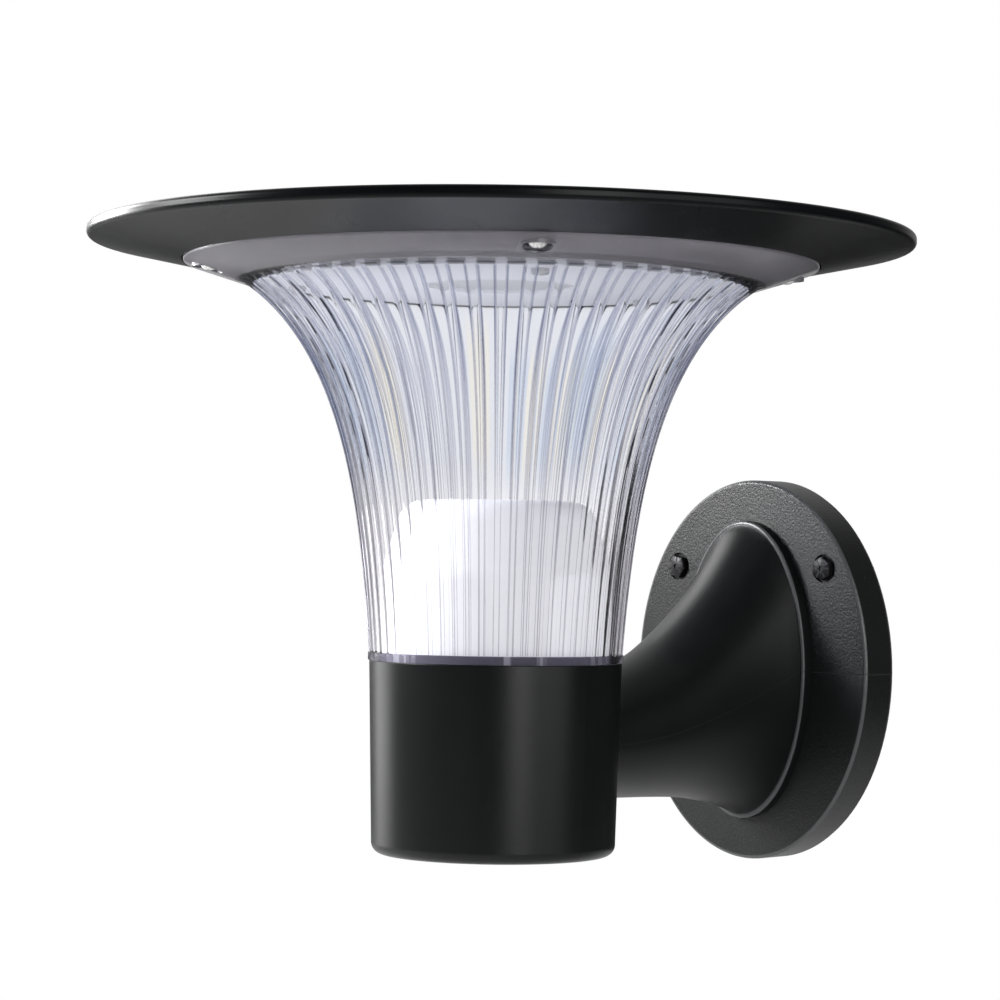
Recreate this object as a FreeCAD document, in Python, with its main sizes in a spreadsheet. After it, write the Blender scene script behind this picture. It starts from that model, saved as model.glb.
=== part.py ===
import FreeCAD, Part
import math
import os
import Sketcher
from FreeCAD import Placement, Rotation, Vector

# Solar wall light. Origin: middle of the wall pad's rear face, on the wall.
# The wall is the plane Y = 0, the lamp stands out towards -Y, and +Z is up.

WALL_SIZES = {
    "plate_half_width": 51.0,
    "plate_half_height": 65.0,
    "plate_depth": 13.5,
    "plate_wall": 3.0,
    "plate_edge_round": 1.2,
    "pad_thickness": 1.5,
    "pad_inset": 0.6,
    "wall_screw_spread": 65.0,
    "wall_screw_rise": 35.0,
    "wall_screw_radius": 2.0,
    "wall_shank_radius": 2.4,
    "wall_screw_clearance": 0.25,
    "wall_screw_reach": 11.0,
    "wall_screw_point": 1.2,
    "hex_across_flats": 7.0,
    "hex_height": 2.8,
    "hex_dimple_radius": 0.8,
    "hex_dimple_depth": 0.4,
    "washer_radius": 4.5,
    "washer_thickness": 0.5,
    "hex_recess_depth": 1.5,
    "hex_recess_clearance": 0.3,
    "wall_boss_radius": 6.5,
}

ARM_SIZES = {
    "axis_reach": 138.0,
    "root_half_width": 27.6,
    "root_half_height": 51.0,
    "root_lip": 4.0,
    "root_floor": 3.0,
    "end_half_width": 20.5,
    "end_top": -3.1,
    "end_bottom": -40.5,
    "arm_overlap": 1.8,
    "arm_wall": 2.6,
    "arm_end_block": 12.0,
    "joint_gap": 0.1,
    "root_screw_radius": 2.0,
    "root_screw_length": 9.5,
    "root_screw_across": 15.0,
    "root_screw_up": 27.0,
    "arm_bolt_radius": 2.5,
    "arm_bolt_length": 16.0,
    "arm_bolt_across": 9.0,
    "arm_bolt_level": 30.0,
}

BASE_SIZES = {
    "base_drop": 56.0,
    "base_height": 60.5,
    "base_radius": 39.8,
    "base_taper": 1.5,
    "base_edge_round": 3.5,
    "base_rim_round": 0.4,
    "base_wall": 2.6,
    "base_floor": 3.0,
    "drain_radius": 2.5,
    "ledge_width": 9.2,
    "ledge_height": 4.0,
    "ledge_slope": 6.5,
    "bolt_pad_half_width": 15.5,
    "bolt_pad_half_height": 6.5,
    "bolt_pad_depth": 4.5,
}

LENS_SIZES = {
    "band_height": 2.6,
    "band_step": 0.4,
    "rib_height": 115.5,
    "rib_step": 0.2,
    "rib_top_radius": 81.0,
    "flute_depth": 1.1,
    "crest_height": 0.35,
    "lens_wall": 3.2,
    "flange_width": 19.0,
    "flange_rise": 6.0,
    "flange_thickness": 2.4,
    "seat_rise": 3.4,
    "seat_width": 7.7,
    "seal_land": 4.5,
    "spigot_clearance": 0.3,
    "spigot_depth": 11.6,
    "spigot_wall": 2.4,
    "step_depth": 0.5,
    "foot_thickness": 2.2,
    "foot_width": 5.6,
    "foot_gap": 0.4,
    "ring_height": 1.6,
    "ring_level": 5.0,
    "ring_depth": 1.3,
    "lens_screw_inset": 5.7,
    "flange_screw_inset": 8.3,
    "pocket_radius": 4.2,
    "pocket_roof": 5.6,
    "pocket_pad_radius": 5.6,
    "seal_thickness": 1.4,
    "seal_inset": 0.4,
    "seal_width": 3.6,
}

DOME_SIZES = {
    "dome_clearance": 0.4,
    "dome_height": 51.0,
    "dome_side": 28.0,
    "dome_shoulder": 6.9,
    "dome_wall": 2.0,
    "dome_shoulder_round": 12.0,
    "dome_top_round": 9.0,
}

HAT_SIZES = {
    "hat_overhang": 30.0,
    "hat_wall": 2.4,
    "mouth_gap": 0.7,
    "mouth_clearance": 0.6,
    "rim_rise": 6.1,
    "rim_band": 3.35,
    "rim_round": 1.5,
    "rim_solid": 6.4,
    "crown_rise": 6.05,
    "panel_depth": 3.1,
    "deck_thickness": 2.0,
    "ledge_reach": 4.4,
    "ledge_thickness": 2.3,
    "panel_radius": 75.0,
    "panel_clearance": 0.3,
    "frame_width": 2.4,
    "cover_thickness": 1.6,
    "cells_thickness": 1.3,
    "panel_seal_width": 2.4,
    "flange_boss_radius": 3.7,
    "flange_boss_gap": 0.2,
    "flange_boss_height": 10.5,
    "deck_post_radius": 3.6,
    "deck_post_inset": 8.6,
    "wire_hole_radius": 2.6,
    "lip_round": 0.4,
}

INSIDE_SIZES = {
    "plate_dish_clearance": 1.2,
    "plate_skin": 2.0,
    "plate_rim_skin": 1.8,
    "plate_rim_width": 6.7,
    "plate_edge_soft": 0.8,
    "window_radius": 27.0,
    "window_lip": 3.0,
    "window_thickness": 1.6,
    "window_seat": 1.0,
    "window_clearance": 0.2,
    "light_board_radius": 33.5,
    "board_thickness": 1.6,
    "board_lift": 4.4,
    "standoff_radius": 2.8,
    "light_screw_ring": 30.2,
    "chip_width": 3.4,
    "chip_height": 0.9,
    "chip_ring": 17.0,
    "control_inset_from_rim": 21.6,
    "control_width": 28.0,
    "control_length": 54.0,
    "control_inset": 3.2,
    "coil_radius": 4.5,
    "coil_height": 4.6,
    "chip_body_width": 5.0,
    "chip_body_length": 6.0,
    "chip_body_height": 1.6,
    "capacitor_radius": 3.0,
    "capacitor_height": 6.5,
    "cell_radius": 7.0,
    "cell_length": 50.0,
    "cell_gap": 0.6,
    "cell_cap_radius": 2.6,
    "cell_cap_height": 1.2,
    "holder_inset_from_rim": 22.1,
    "holder_floor": 0.8,
    "holder_wall": 1.2,
    "holder_end_gap": 0.6,
    "holder_rise": 9.0,
    "wire_radius": 0.7,
    "wire_bend": 2.5,
    "wire_spread": 2.0,
    "board_screw_radius": 1.0,
    "board_screw_length": 5.0,
    "board_screw_head_radius": 2.0,
    "board_screw_head_height": 1.6,
    "contact_tab_width": 4.0,
    "contact_tab_thickness": 0.3,
}

BUTTON_SIZES = {
    "button_inset": 7.4,
    "button_radius": 4.5,
    "button_clearance": 0.25,
    "button_proud": 1.4,
    "button_collar": 1.2,
    "button_collar_height": 0.7,
    "button_edge_round": 0.4,
    "button_stem_radius": 1.4,
    "button_travel": 0.8,
    "button_well_radius": 6.2,
    "spring_radius": 3.6,
    "spring_wire_radius": 0.2,
    "switch_width": 7.8,
    "switch_height": 1.4,
    "switch_key_radius": 1.2,
    "switch_key_height": 0.3,
    "switch_board_width": 10.0,
    "switch_board_thickness": 0.8,
    "switch_post_height": 1.2,
    "switch_post_radius": 4.0,
}

FASTENER_SIZES = {
    "screw_radius": 1.5,
    "screw_clearance": 0.2,
    "screw_length": 10.0,
    "screw_head_radius": 2.8,
    "screw_head_height": 2.1,
    "screw_fit": 0.05,
    "large_head_radius": 3.6,
    "large_head_height": 2.6,
    "bolt_head_radius": 4.3,
}

SIZE_GROUPS = [
    WALL_SIZES,
    ARM_SIZES,
    BASE_SIZES,
    LENS_SIZES,
    DOME_SIZES,
    HAT_SIZES,
    INSIDE_SIZES,
    BUTTON_SIZES,
    FASTENER_SIZES,
]

# How many of each repeated piece, and the directions in degrees from +X about the lamp's axis.
RIB_COUNT = 56
FLANGE_SCREW_COUNT = 4
FLANGE_SCREW_RIB = -6
DECK_POST_TURNS = [90.0, 215.0, 325.0]
LENS_SCREW_TURNS = [90.0, 210.0, 330.0]
LIGHT_SCREW_TURNS = [30.0, 150.0, 270.0]
CHIP_COUNT = 12
BUTTON_TURN = 180.0
FINE_DIGITS = 9
SPRING_TURNS = 2

# The lens's flare: share of the rib height, share of the step from bottom radius to top radius.
FLARE_SHARES = [
    (0.0, 0.0),
    (0.16, 0.033),
    (0.32, 0.093),
    (0.47, 0.168),
    (0.60, 0.264),
    (0.72, 0.381),
    (0.82, 0.520),
    (0.91, 0.716),
    (0.965, 0.878),
    (1.0, 1.0),
]
# One rib: the share of its pitch that the rounded crest takes.
CREST_SHARE = 0.26
# A pan head: its drive recess and its rounding as shares of the head.
DRIVE_SHARE = 0.38
DRIVE_DEPTH_SHARE = 0.5
HEAD_ROUND_SHARE = 0.32
# The tip of a wall screw and the flat of its hexagonal head, as shares of shank and head.
POINT_SHARE = 0.6
HEX_FLAT_SHARE = 0.97

# The arm from cup to wall: share of its length, and the shares of the steps of its top,
# of its underside and of its half width.
ARM_SHARES = [
    (0.0, 0.0, 0.0, 0.0),
    (0.21, 0.088, 0.05, 0.19),
    (0.43, 0.220, 0.11, 0.38),
    (0.605, 0.390, 0.21, 0.51),
    (0.73, 0.540, 0.37, 0.66),
    (0.85, 0.715, 0.58, 0.83),
    (1.0, 1.0, 1.0, 1.0),
]


# The document, its sheet and the lengths read from it

doc = FreeCAD.newDocument("solar_wall_light")
sheet = doc.addObject("Spreadsheet::Sheet", "Sizes")


def fill_sheet(groups):
    row = 0
    for group in groups:
        for alias, value in group.items():
            row += 1
            sheet.set(f"A{row}", alias)
            sheet.set(f"B{row}", str(value))
            sheet.setAlias(f"B{row}", alias)
    doc.recompute()


class Length:
    """A length that holds its value and the expression that binds it to the sheet."""

    def __init__(self, value, text):
        self.value = float(value)
        self.text = text

    @staticmethod
    def of(other):
        return other if isinstance(other, Length) else Length(other, repr(float(other)))

    def join(self, other, sign, value):
        return Length(value, f"({self.text} {sign} {Length.of(other).text})")

    def __add__(self, other):
        return self.join(other, "+", self.value + Length.of(other).value)

    def __sub__(self, other):
        return self.join(other, "-", self.value - Length.of(other).value)

    def __mul__(self, share):
        return self.join(share, "*", self.value * share)

    def __truediv__(self, share):
        return self.join(share, "/", self.value / share)

    def __neg__(self):
        return Length(-self.value, f"(0 - {self.text})")


class SheetLengths:
    """Reads a named length of the sheet as an attribute."""

    def __getattr__(self, alias):
        return Length(sheet.get(alias), f"Sizes.{alias}")


fill_sheet(SIZE_GROUPS)
s = SheetLengths()
ZERO = Length(0.0, "0")


# Small builders: bound properties, placements, primitives and outlines

def bind(thing, **lengths):
    for name, length in lengths.items():
        setattr(thing, name, length.value)
        thing.setExpression(name, length.text)


def place(thing, x=ZERO, y=ZERO, z=ZERO, turn=None):
    thing.Placement = Placement(Vector(x.value, y.value, z.value), turn or Rotation())
    for axis, length in (("x", x), ("y", y), ("z", z)):
        if length is not ZERO:
            thing.setExpression(f"Placement.Base.{axis}", length.text)
    return thing


def around(ring, degrees):
    """X and Y of a point on a ring about the lamp's axis."""
    angle = math.radians(degrees)
    across = round(math.cos(angle), FINE_DIGITS)
    along = round(math.sin(angle), FINE_DIGITS)
    return ring * across, ring * along - s.axis_reach


def cylinder(name, radius, height, x=ZERO, y=ZERO, z=ZERO, turn=None):
    rod = doc.addObject("Part::Cylinder", name)
    bind(rod, Radius=radius, Height=height)
    return place(rod, x, y, z, turn)


def box(name, length, width, height, x, y, z):
    """A block whose X and Y are those of its middle and whose Z is its lower face."""
    block = doc.addObject("Part::Box", name)
    bind(block, Length=length, Width=width, Height=height)
    return place(block, x - length / 2, y - width / 2, z)


def fuse(name, parts):
    joined = doc.addObject("Part::MultiFuse", name)
    joined.Shapes = parts
    return joined


def cut(name, base, tools):
    tool = tools[0] if len(tools) == 1 else fuse(f"{name}_tools", tools)
    left = doc.addObject("Part::Cut", name)
    left.Base = base
    left.Tool = tool
    return left


def corner_points(corners):
    """For each corner of an outline: its point and, where it is rounded, the arc's two ends."""
    points = [Vector(corner[0].value, corner[1].value, 0) for corner in corners]
    found = []
    for i, corner in enumerate(corners):
        point = points[i]
        if len(corner) == 2:
            found.append((point, point, point))
            continue
        back = (points[i - 1] - point).normalize()
        ahead = (points[(i + 1) % len(points)] - point).normalize()
        reach = corner[2].value / math.tan(back.getAngle(ahead) / 2)
        found.append((point, point + back * reach, point + ahead * reach))
    return found


def rounded_arc(point, start, end, radius):
    """The arc that rounds a corner, and whether it runs against the outline."""
    middle = (start + end) / 2
    centre = middle + (middle - point).normalize() * (
        math.sqrt(radius ** 2 - (start - middle).Length ** 2)
        if radius > (start - middle).Length else 0
    )
    against = (start - point).cross(end - point).z > 0
    first, last = (end, start) if against else (start, end)
    circle = Part.Circle(centre, Vector(0, 0, 1), radius)
    return Part.ArcOfCircle(circle, circle.parameter(first), circle.parameter(last)), against


def hold_point(sketch, geometry, end, across, up):
    """Holds one point of the sketch at two lengths from the origin."""
    for length, kind, axis in ((across, "DistanceX", -2), (up, "DistanceY", -1)):
        if length is ZERO:
            sketch.addConstraint(Sketcher.Constraint("PointOnObject", geometry, end, axis))
            continue
        index = sketch.addConstraint(
            Sketcher.Constraint(kind, -1, 1, geometry, end, length.value)
        )
        sketch.setExpression(f"Constraints[{index}]", length.text)


def outline_sketch(body, name, role, corners):
    """A closed sketch through the corners, with its rounded corners as tangent arcs."""
    sketch = body.newObject("Sketcher::SketchObject", name)
    plane = [item for item in body.Origin.OriginFeatures if item.Role == role][0]
    sketch.AttachmentSupport = (plane, [""])
    sketch.MapMode = "FlatFace"
    found = corner_points(corners)
    count = len(corners)
    for i in range(count):
        sketch.addGeometry(Part.LineSegment(found[i][2], found[(i + 1) % count][1]), False)
    for i, corner in enumerate(corners):
        before = (i - 1) % count
        if len(corner) == 2:
            sketch.addConstraint(Sketcher.Constraint("Coincident", before, 2, i, 1))
            hold_point(sketch, i, 1, corner[0], corner[1])
            continue
        arc, against = rounded_arc(*found[i], corner[2].value)
        curve = sketch.addGeometry(arc, False)
        first, last = (2, 1) if against else (1, 2)
        sketch.addConstraint(Sketcher.Constraint("Tangent", before, 2, curve, first))
        sketch.addConstraint(Sketcher.Constraint("Tangent", curve, last, i, 1))
        index = sketch.addConstraint(Sketcher.Constraint("Radius", curve, corner[2].value))
        sketch.setExpression(f"Constraints[{index}]", corner[2].text)
        mark = sketch.addGeometry(Part.Point(found[i][0]), True)
        sketch.addConstraint(Sketcher.Constraint("PointOnObject", mark, 1, before))
        sketch.addConstraint(Sketcher.Constraint("PointOnObject", mark, 1, i))
        hold_point(sketch, mark, 1, corner[0], corner[1])
    return sketch


def revolved(name, corners, x=ZERO, y=ZERO, z=ZERO, turn=None):
    """A body turned about its own Z axis from corners given as radius and height."""
    body = doc.addObject("PartDesign::Body", name)
    sketch = outline_sketch(body, f"{name}_outline", "XZ_Plane", corners)
    turned = body.newObject("PartDesign::Revolution", f"{name}_turned")
    turned.Profile = sketch
    turned.ReferenceAxis = (sketch, ["V_Axis"])
    turned.Angle = 360
    body.Tip = turned
    return place(body, x, y, z, turn)


def ring(name, inner, outer, height, z):
    """A plain ring about the lamp's axis."""
    corners = [(inner, ZERO), (outer, ZERO), (outer, height), (inner, height)]
    return revolved(name, corners, y=-s.axis_reach, z=z)


def disc(name, radius, height, z):
    """A plain disc about the lamp's axis."""
    corners = [(ZERO, ZERO), (radius, ZERO), (radius, height), (ZERO, height)]
    return revolved(name, corners, y=-s.axis_reach, z=z)


def screw(name, radius, length, head_radius, head_height):
    """A screw that points along +Z, its pan head's top at Z = 0, with a round drive recess."""
    drive = head_radius * DRIVE_SHARE
    drive_floor = head_height * DRIVE_DEPTH_SHARE
    return revolved(name, [
        (ZERO, drive_floor),
        (drive, drive_floor),
        (drive, ZERO),
        (head_radius, ZERO, head_radius * HEAD_ROUND_SHARE),
        (head_radius, head_height),
        (radius, head_height),
        (radius, head_height + length),
        (ZERO, head_height + length),
    ])


def copies(name, source, head_height, spots, turn):
    """One node of separate solids: a screw at each spot, its head's underside on the spot."""
    doc.recompute()
    shapes = []
    for x, y, z in spots:
        shape = source.Shape.copy()
        shape.translate(Vector(0, 0, -head_height.value))
        shape.rotate(Vector(), turn.Axis, math.degrees(turn.Angle))
        shape.translate(Vector(x.value, y.value, z.value))
        shapes.append(shape)
    node = doc.addObject("Part::Feature", name)
    node.Shape = Part.makeCompound(shapes)
    return node


# Radii that follow from one another, and the places of what the dished plate holds

BAND_RADIUS = s.base_radius + s.band_step
RIB_BOTTOM_RADIUS = BAND_RADIUS - s.rib_step
DOME_RADIUS = RIB_BOTTOM_RADIUS - s.lens_wall - s.dome_clearance
DOME_TOP_RADIUS = DOME_RADIUS - s.dome_shoulder
FLANGE_RADIUS = s.rib_top_radius + s.flange_width
MOUTH_RADIUS = FLANGE_RADIUS + s.mouth_clearance
HAT_RADIUS = FLANGE_RADIUS + s.hat_overhang
BUTTON_PLACE = MOUTH_RADIUS + s.button_inset
DISH_INNER = s.rib_top_radius - s.lens_wall - s.plate_dish_clearance - s.plate_skin
DECK_POST_RING = DISH_INNER - s.deck_post_inset
HOLDER_PLACE = DISH_INNER - s.holder_inset_from_rim
CONTROL_PLACE = DISH_INNER - s.control_inset_from_rim


# Levels of the stack, from the cup's foot to the panel

BASE_BOTTOM = -s.base_drop
BASE_TOP = BASE_BOTTOM + s.base_height
RIB_BOTTOM = BASE_TOP + s.band_height
RIB_TOP = RIB_BOTTOM + s.rib_height
FLANGE_EDGE = RIB_TOP + s.flange_rise
SEAL_LEVEL = FLANGE_EDGE + s.flange_thickness
LEDGE_LEVEL = SEAL_LEVEL + s.seal_thickness
HAT_MOUTH = FLANGE_EDGE + s.mouth_gap
RIM_LOWER = HAT_MOUTH + s.rim_rise
RIM_UPPER = RIM_LOWER + s.rim_band
LIP_TOP = RIM_UPPER + s.crown_rise
DECK_TOP = LIP_TOP - s.panel_depth
DECK_UNDER = DECK_TOP - s.deck_thickness
FOOT_LEVEL = BASE_TOP - s.spigot_depth
STEP_LEVEL = BASE_TOP - s.step_depth
PLATE_TOP = RIB_TOP + s.plate_skin
PLATE_FRONT = s.pad_thickness + s.plate_depth
UP = Rotation()
DOWN = Rotation(Vector(1, 0, 0), 180)
TO_WALL = Rotation(Vector(1, 0, 0), -90)
FROM_WALL = Rotation(Vector(1, 0, 0), 90)


# Base cup

def base_cup():
    """Cup under the lens: ledge for the lens foot, drain hole, flat pad for the arm's bolts."""
    inner = s.base_radius - s.base_wall
    ledge_top = s.base_height - s.spigot_depth - s.foot_gap
    ledge_inner = inner - s.ledge_width
    ledge_under = ledge_top - s.ledge_height
    wall_foot = inner - s.base_taper
    shell = revolved("base_shell", [
        (s.drain_radius, ZERO),
        (s.base_radius - s.base_taper, ZERO, s.base_edge_round),
        (s.base_radius, s.base_height, s.base_rim_round),
        (inner, s.base_height),
        (inner, ledge_top),
        (ledge_inner, ledge_top),
        (ledge_inner, ledge_under),
        (inner - s.base_taper / 3, ledge_under - s.ledge_slope),
        (wall_foot, s.base_floor),
        (s.drain_radius, s.base_floor),
    ], y=-s.axis_reach, z=BASE_BOTTOM)
    pad = box(
        "bolt_pad", s.bolt_pad_half_width * 2, s.bolt_pad_depth * 2, s.bolt_pad_half_height * 2,
        ZERO, wall_foot - s.axis_reach, -s.arm_bolt_level - s.bolt_pad_half_height,
    )
    reach = cylinder(
        "pad_limit", s.base_radius - s.base_wall / 2 - s.base_taper, s.base_height / 2,
        y=-s.axis_reach, z=BASE_BOTTOM + s.base_floor,
    )
    trimmed = doc.addObject("Part::Common", "pad_trimmed")
    trimmed.Base = pad
    trimmed.Tool = reach
    holes = []
    for i, side in enumerate((-1, 1)):
        holes.append(cylinder(
            f"arm_bolt_hole_{i}", s.arm_bolt_radius + s.screw_clearance, s.bolt_pad_depth * 4,
            s.arm_bolt_across * side, wall_foot - s.axis_reach - s.bolt_pad_depth * 2,
            -s.arm_bolt_level, TO_WALL,
        ))
    for i, degrees in enumerate(LENS_SCREW_TURNS):
        x, y = around(s.base_radius - s.base_wall - s.lens_screw_inset, degrees)
        level = FOOT_LEVEL + s.foot_thickness - s.screw_length - s.screw_clearance
        holes.append(cylinder(
            f"lens_screw_hole_{i}", s.screw_radius + s.screw_fit, s.screw_length * 2, x, y, level,
        ))
    return cut("base_cup", fuse("base_solid", [shell, trimmed]), holes)


# Lens: fluted trumpet, flange, band, spigot and foot

def flare_radius(share):
    return RIB_BOTTOM_RADIUS + (s.rib_top_radius - RIB_BOTTOM_RADIUS) * share


def fluted_wire(radius, level):
    """One ring of the trumpet: a shallow rounded crest and a hollow flute for each rib."""
    pitch = 2 * math.pi / RIB_COUNT
    edge = radius - s.crest_height.value
    floor = radius - s.flute_depth.value

    def point(reach, angle):
        return Vector(reach * math.cos(angle), reach * math.sin(angle), level)

    arcs = []
    for i in range(RIB_COUNT):
        middle = i * pitch
        first = middle - pitch * CREST_SHARE / 2
        last = middle + pitch * CREST_SHARE / 2
        following = first + pitch
        arcs.append(Part.Arc(point(edge, first), point(radius, middle), point(edge, last)))
        bottom = point(floor, (last + following) / 2)
        arcs.append(Part.Arc(point(edge, last), bottom, point(edge, following)))
    return Part.Wire([arc.toShape() for arc in arcs])


def turned_solid(edges):
    """A closed outline in the XZ plane turned into a solid about Z."""
    return Part.Face(Part.Wire(edges)).revolve(Vector(), Vector(0, 0, 1), 360)


def segments(points):
    return [Part.LineSegment(a, b).toShape() for a, b in zip(points, points[1:])]


def spot(radius, level):
    return Vector(radius.value, 0, level.value)


def flare_curve(inset):
    """The flare as one smooth curve, its radius inset by the wall, from bottom to top."""
    points = []
    for rise, step in FLARE_SHARES:
        level = s.band_height + s.rib_height * rise
        points.append(spot(flare_radius(step) - inset, level))
    curve = Part.BSplineCurve()
    curve.interpolate(points)
    return curve.toShape(), points


def lens():
    """Clear ribbed lens. Its own zero level is the top of the base cup."""
    wires = []
    for rise, step in FLARE_SHARES:
        level = s.band_height + s.rib_height * rise
        wires.append(fluted_wire(flare_radius(step).value, level.value))
    trumpet = Part.makeLoft(wires, True, False)

    top = s.band_height + s.rib_height
    edge = top + s.flange_rise
    land = edge + s.flange_thickness
    seat = top + s.seat_rise
    bore = s.rib_top_radius - s.lens_wall
    flange = turned_solid(segments([
        spot(ZERO, top),
        spot(s.rib_top_radius, top),
        spot(FLANGE_RADIUS, edge),
        spot(FLANGE_RADIUS, land),
        spot(FLANGE_RADIUS - s.seal_land, land),
        spot(bore + s.seat_width, seat),
        spot(ZERO, seat),
        spot(ZERO, top),
    ]))

    spigot = s.base_radius - s.base_wall - s.spigot_clearance
    groove = spigot - s.ring_depth
    low = -s.spigot_depth
    ring_low = -s.ring_level - s.ring_height
    band = turned_solid(segments([
        spot(ZERO, low),
        spot(spigot, low),
        spot(spigot, ring_low),
        spot(groove, ring_low),
        spot(groove, -s.ring_level),
        spot(spigot, -s.ring_level),
        spot(spigot, ZERO),
        spot(BAND_RADIUS, ZERO),
        spot(BAND_RADIUS, s.band_height),
        spot(ZERO, s.band_height),
        spot(ZERO, low),
    ]))

    curve, points = flare_curve(s.lens_wall)
    inner = spigot - s.spigot_wall
    foot_top = low + s.foot_thickness
    hollow_foot = RIB_BOTTOM_RADIUS - s.lens_wall
    hollow = turned_solid(segments([
        points[-1],
        spot(bore, seat + s.seat_rise),
        spot(ZERO, seat + s.seat_rise),
        spot(ZERO, low - s.foot_thickness),
        spot(spigot - s.foot_width - s.spigot_wall, low - s.foot_thickness),
        spot(spigot - s.foot_width - s.spigot_wall, foot_top),
        spot(inner, foot_top),
        spot(inner, -s.step_depth),
        spot(hollow_foot, -s.step_depth),
        points[0],
    ]) + [curve])

    flange_space = turned_solid(segments([
        spot(s.rib_top_radius, top),
        spot(FLANGE_RADIUS, edge),
        spot(FLANGE_RADIUS, land),
        spot(s.rib_top_radius, land),
        spot(s.rib_top_radius, top),
    ]))

    tools = [hollow]
    pads = []
    for i in range(FLANGE_SCREW_COUNT):
        angle = flange_screw_turn(i)
        spoke = FLANGE_RADIUS - s.flange_screw_inset
        at = Vector(spoke.value * math.cos(angle), spoke.value * math.sin(angle), top.value)
        pad = Part.makeCylinder(s.pocket_pad_radius.value, (land - top).value, at)
        pads.append(flange_space.common(pad))
        tools.append(Part.makeCylinder(s.pocket_radius.value, s.pocket_roof.value, at))
        hole = (s.screw_radius + s.screw_clearance).value
        tools.append(Part.makeCylinder(hole, s.screw_length.value, at))
    for degrees in LENS_SCREW_TURNS:
        angle = math.radians(degrees)
        spoke = s.base_radius - s.base_wall - s.lens_screw_inset
        at = Vector(spoke.value * math.cos(angle), spoke.value * math.sin(angle), low.value)
        hole = (s.screw_radius + s.screw_clearance).value
        tools.append(Part.makeCylinder(hole, s.foot_thickness.value, at))

    node = doc.addObject("Part::Feature", "lens")
    solid = trumpet.fuse([flange, band] + pads)
    node.Shape = solid.cut(Part.makeCompound(tools)).removeSplitter()
    return place(node, y=-s.axis_reach, z=BASE_TOP)


def flange_screw_turn(i):
    """Direction of a flange screw: the screws stand on rib crests, evenly spread."""
    first = FLANGE_SCREW_RIB * 2 * math.pi / RIB_COUNT
    return first + i * 2 * math.pi / FLANGE_SCREW_COUNT


def base_seal():
    inner = s.base_radius - s.base_wall - s.spigot_clearance - s.ring_depth
    level = BASE_TOP - s.ring_level - s.ring_height
    return ring("base_seal", inner, s.base_radius - s.base_wall, s.ring_height, level)


def lens_seal():
    inner = FLANGE_RADIUS - s.seal_inset - s.seal_width
    outer = FLANGE_RADIUS - s.seal_inset
    return ring("lens_seal", inner, outer, s.seal_thickness, SEAL_LEVEL)


def lens_screws(source):
    spots = []
    for degrees in LENS_SCREW_TURNS:
        x, y = around(s.base_radius - s.base_wall - s.lens_screw_inset, degrees)
        spots.append((x, y, FOOT_LEVEL + s.foot_thickness))
    return copies("lens_screws", source, s.screw_head_height, spots, DOWN)


def flange_screws(source):
    spots = []
    for i in range(FLANGE_SCREW_COUNT):
        x, y = around(FLANGE_RADIUS - s.flange_screw_inset, math.degrees(flange_screw_turn(i)))
        spots.append((x, y, RIB_TOP + s.pocket_roof))
    return copies("flange_screws", source, s.screw_head_height, spots, UP)


# White body in the lower half of the lens

def reflector_dome():
    wall = s.dome_wall
    return revolved("reflector_dome", [
        (DOME_RADIUS - wall, ZERO),
        (DOME_RADIUS, ZERO),
        (DOME_RADIUS, s.dome_side, s.dome_shoulder_round),
        (DOME_TOP_RADIUS, s.dome_height, s.dome_top_round),
        (ZERO, s.dome_height),
        (ZERO, s.dome_height - wall),
        (DOME_TOP_RADIUS - wall, s.dome_height - wall, s.dome_top_round - wall),
        (DOME_RADIUS - wall, s.dome_side, s.dome_shoulder_round),
    ], y=-s.axis_reach, z=STEP_LEVEL)


# Hat

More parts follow.
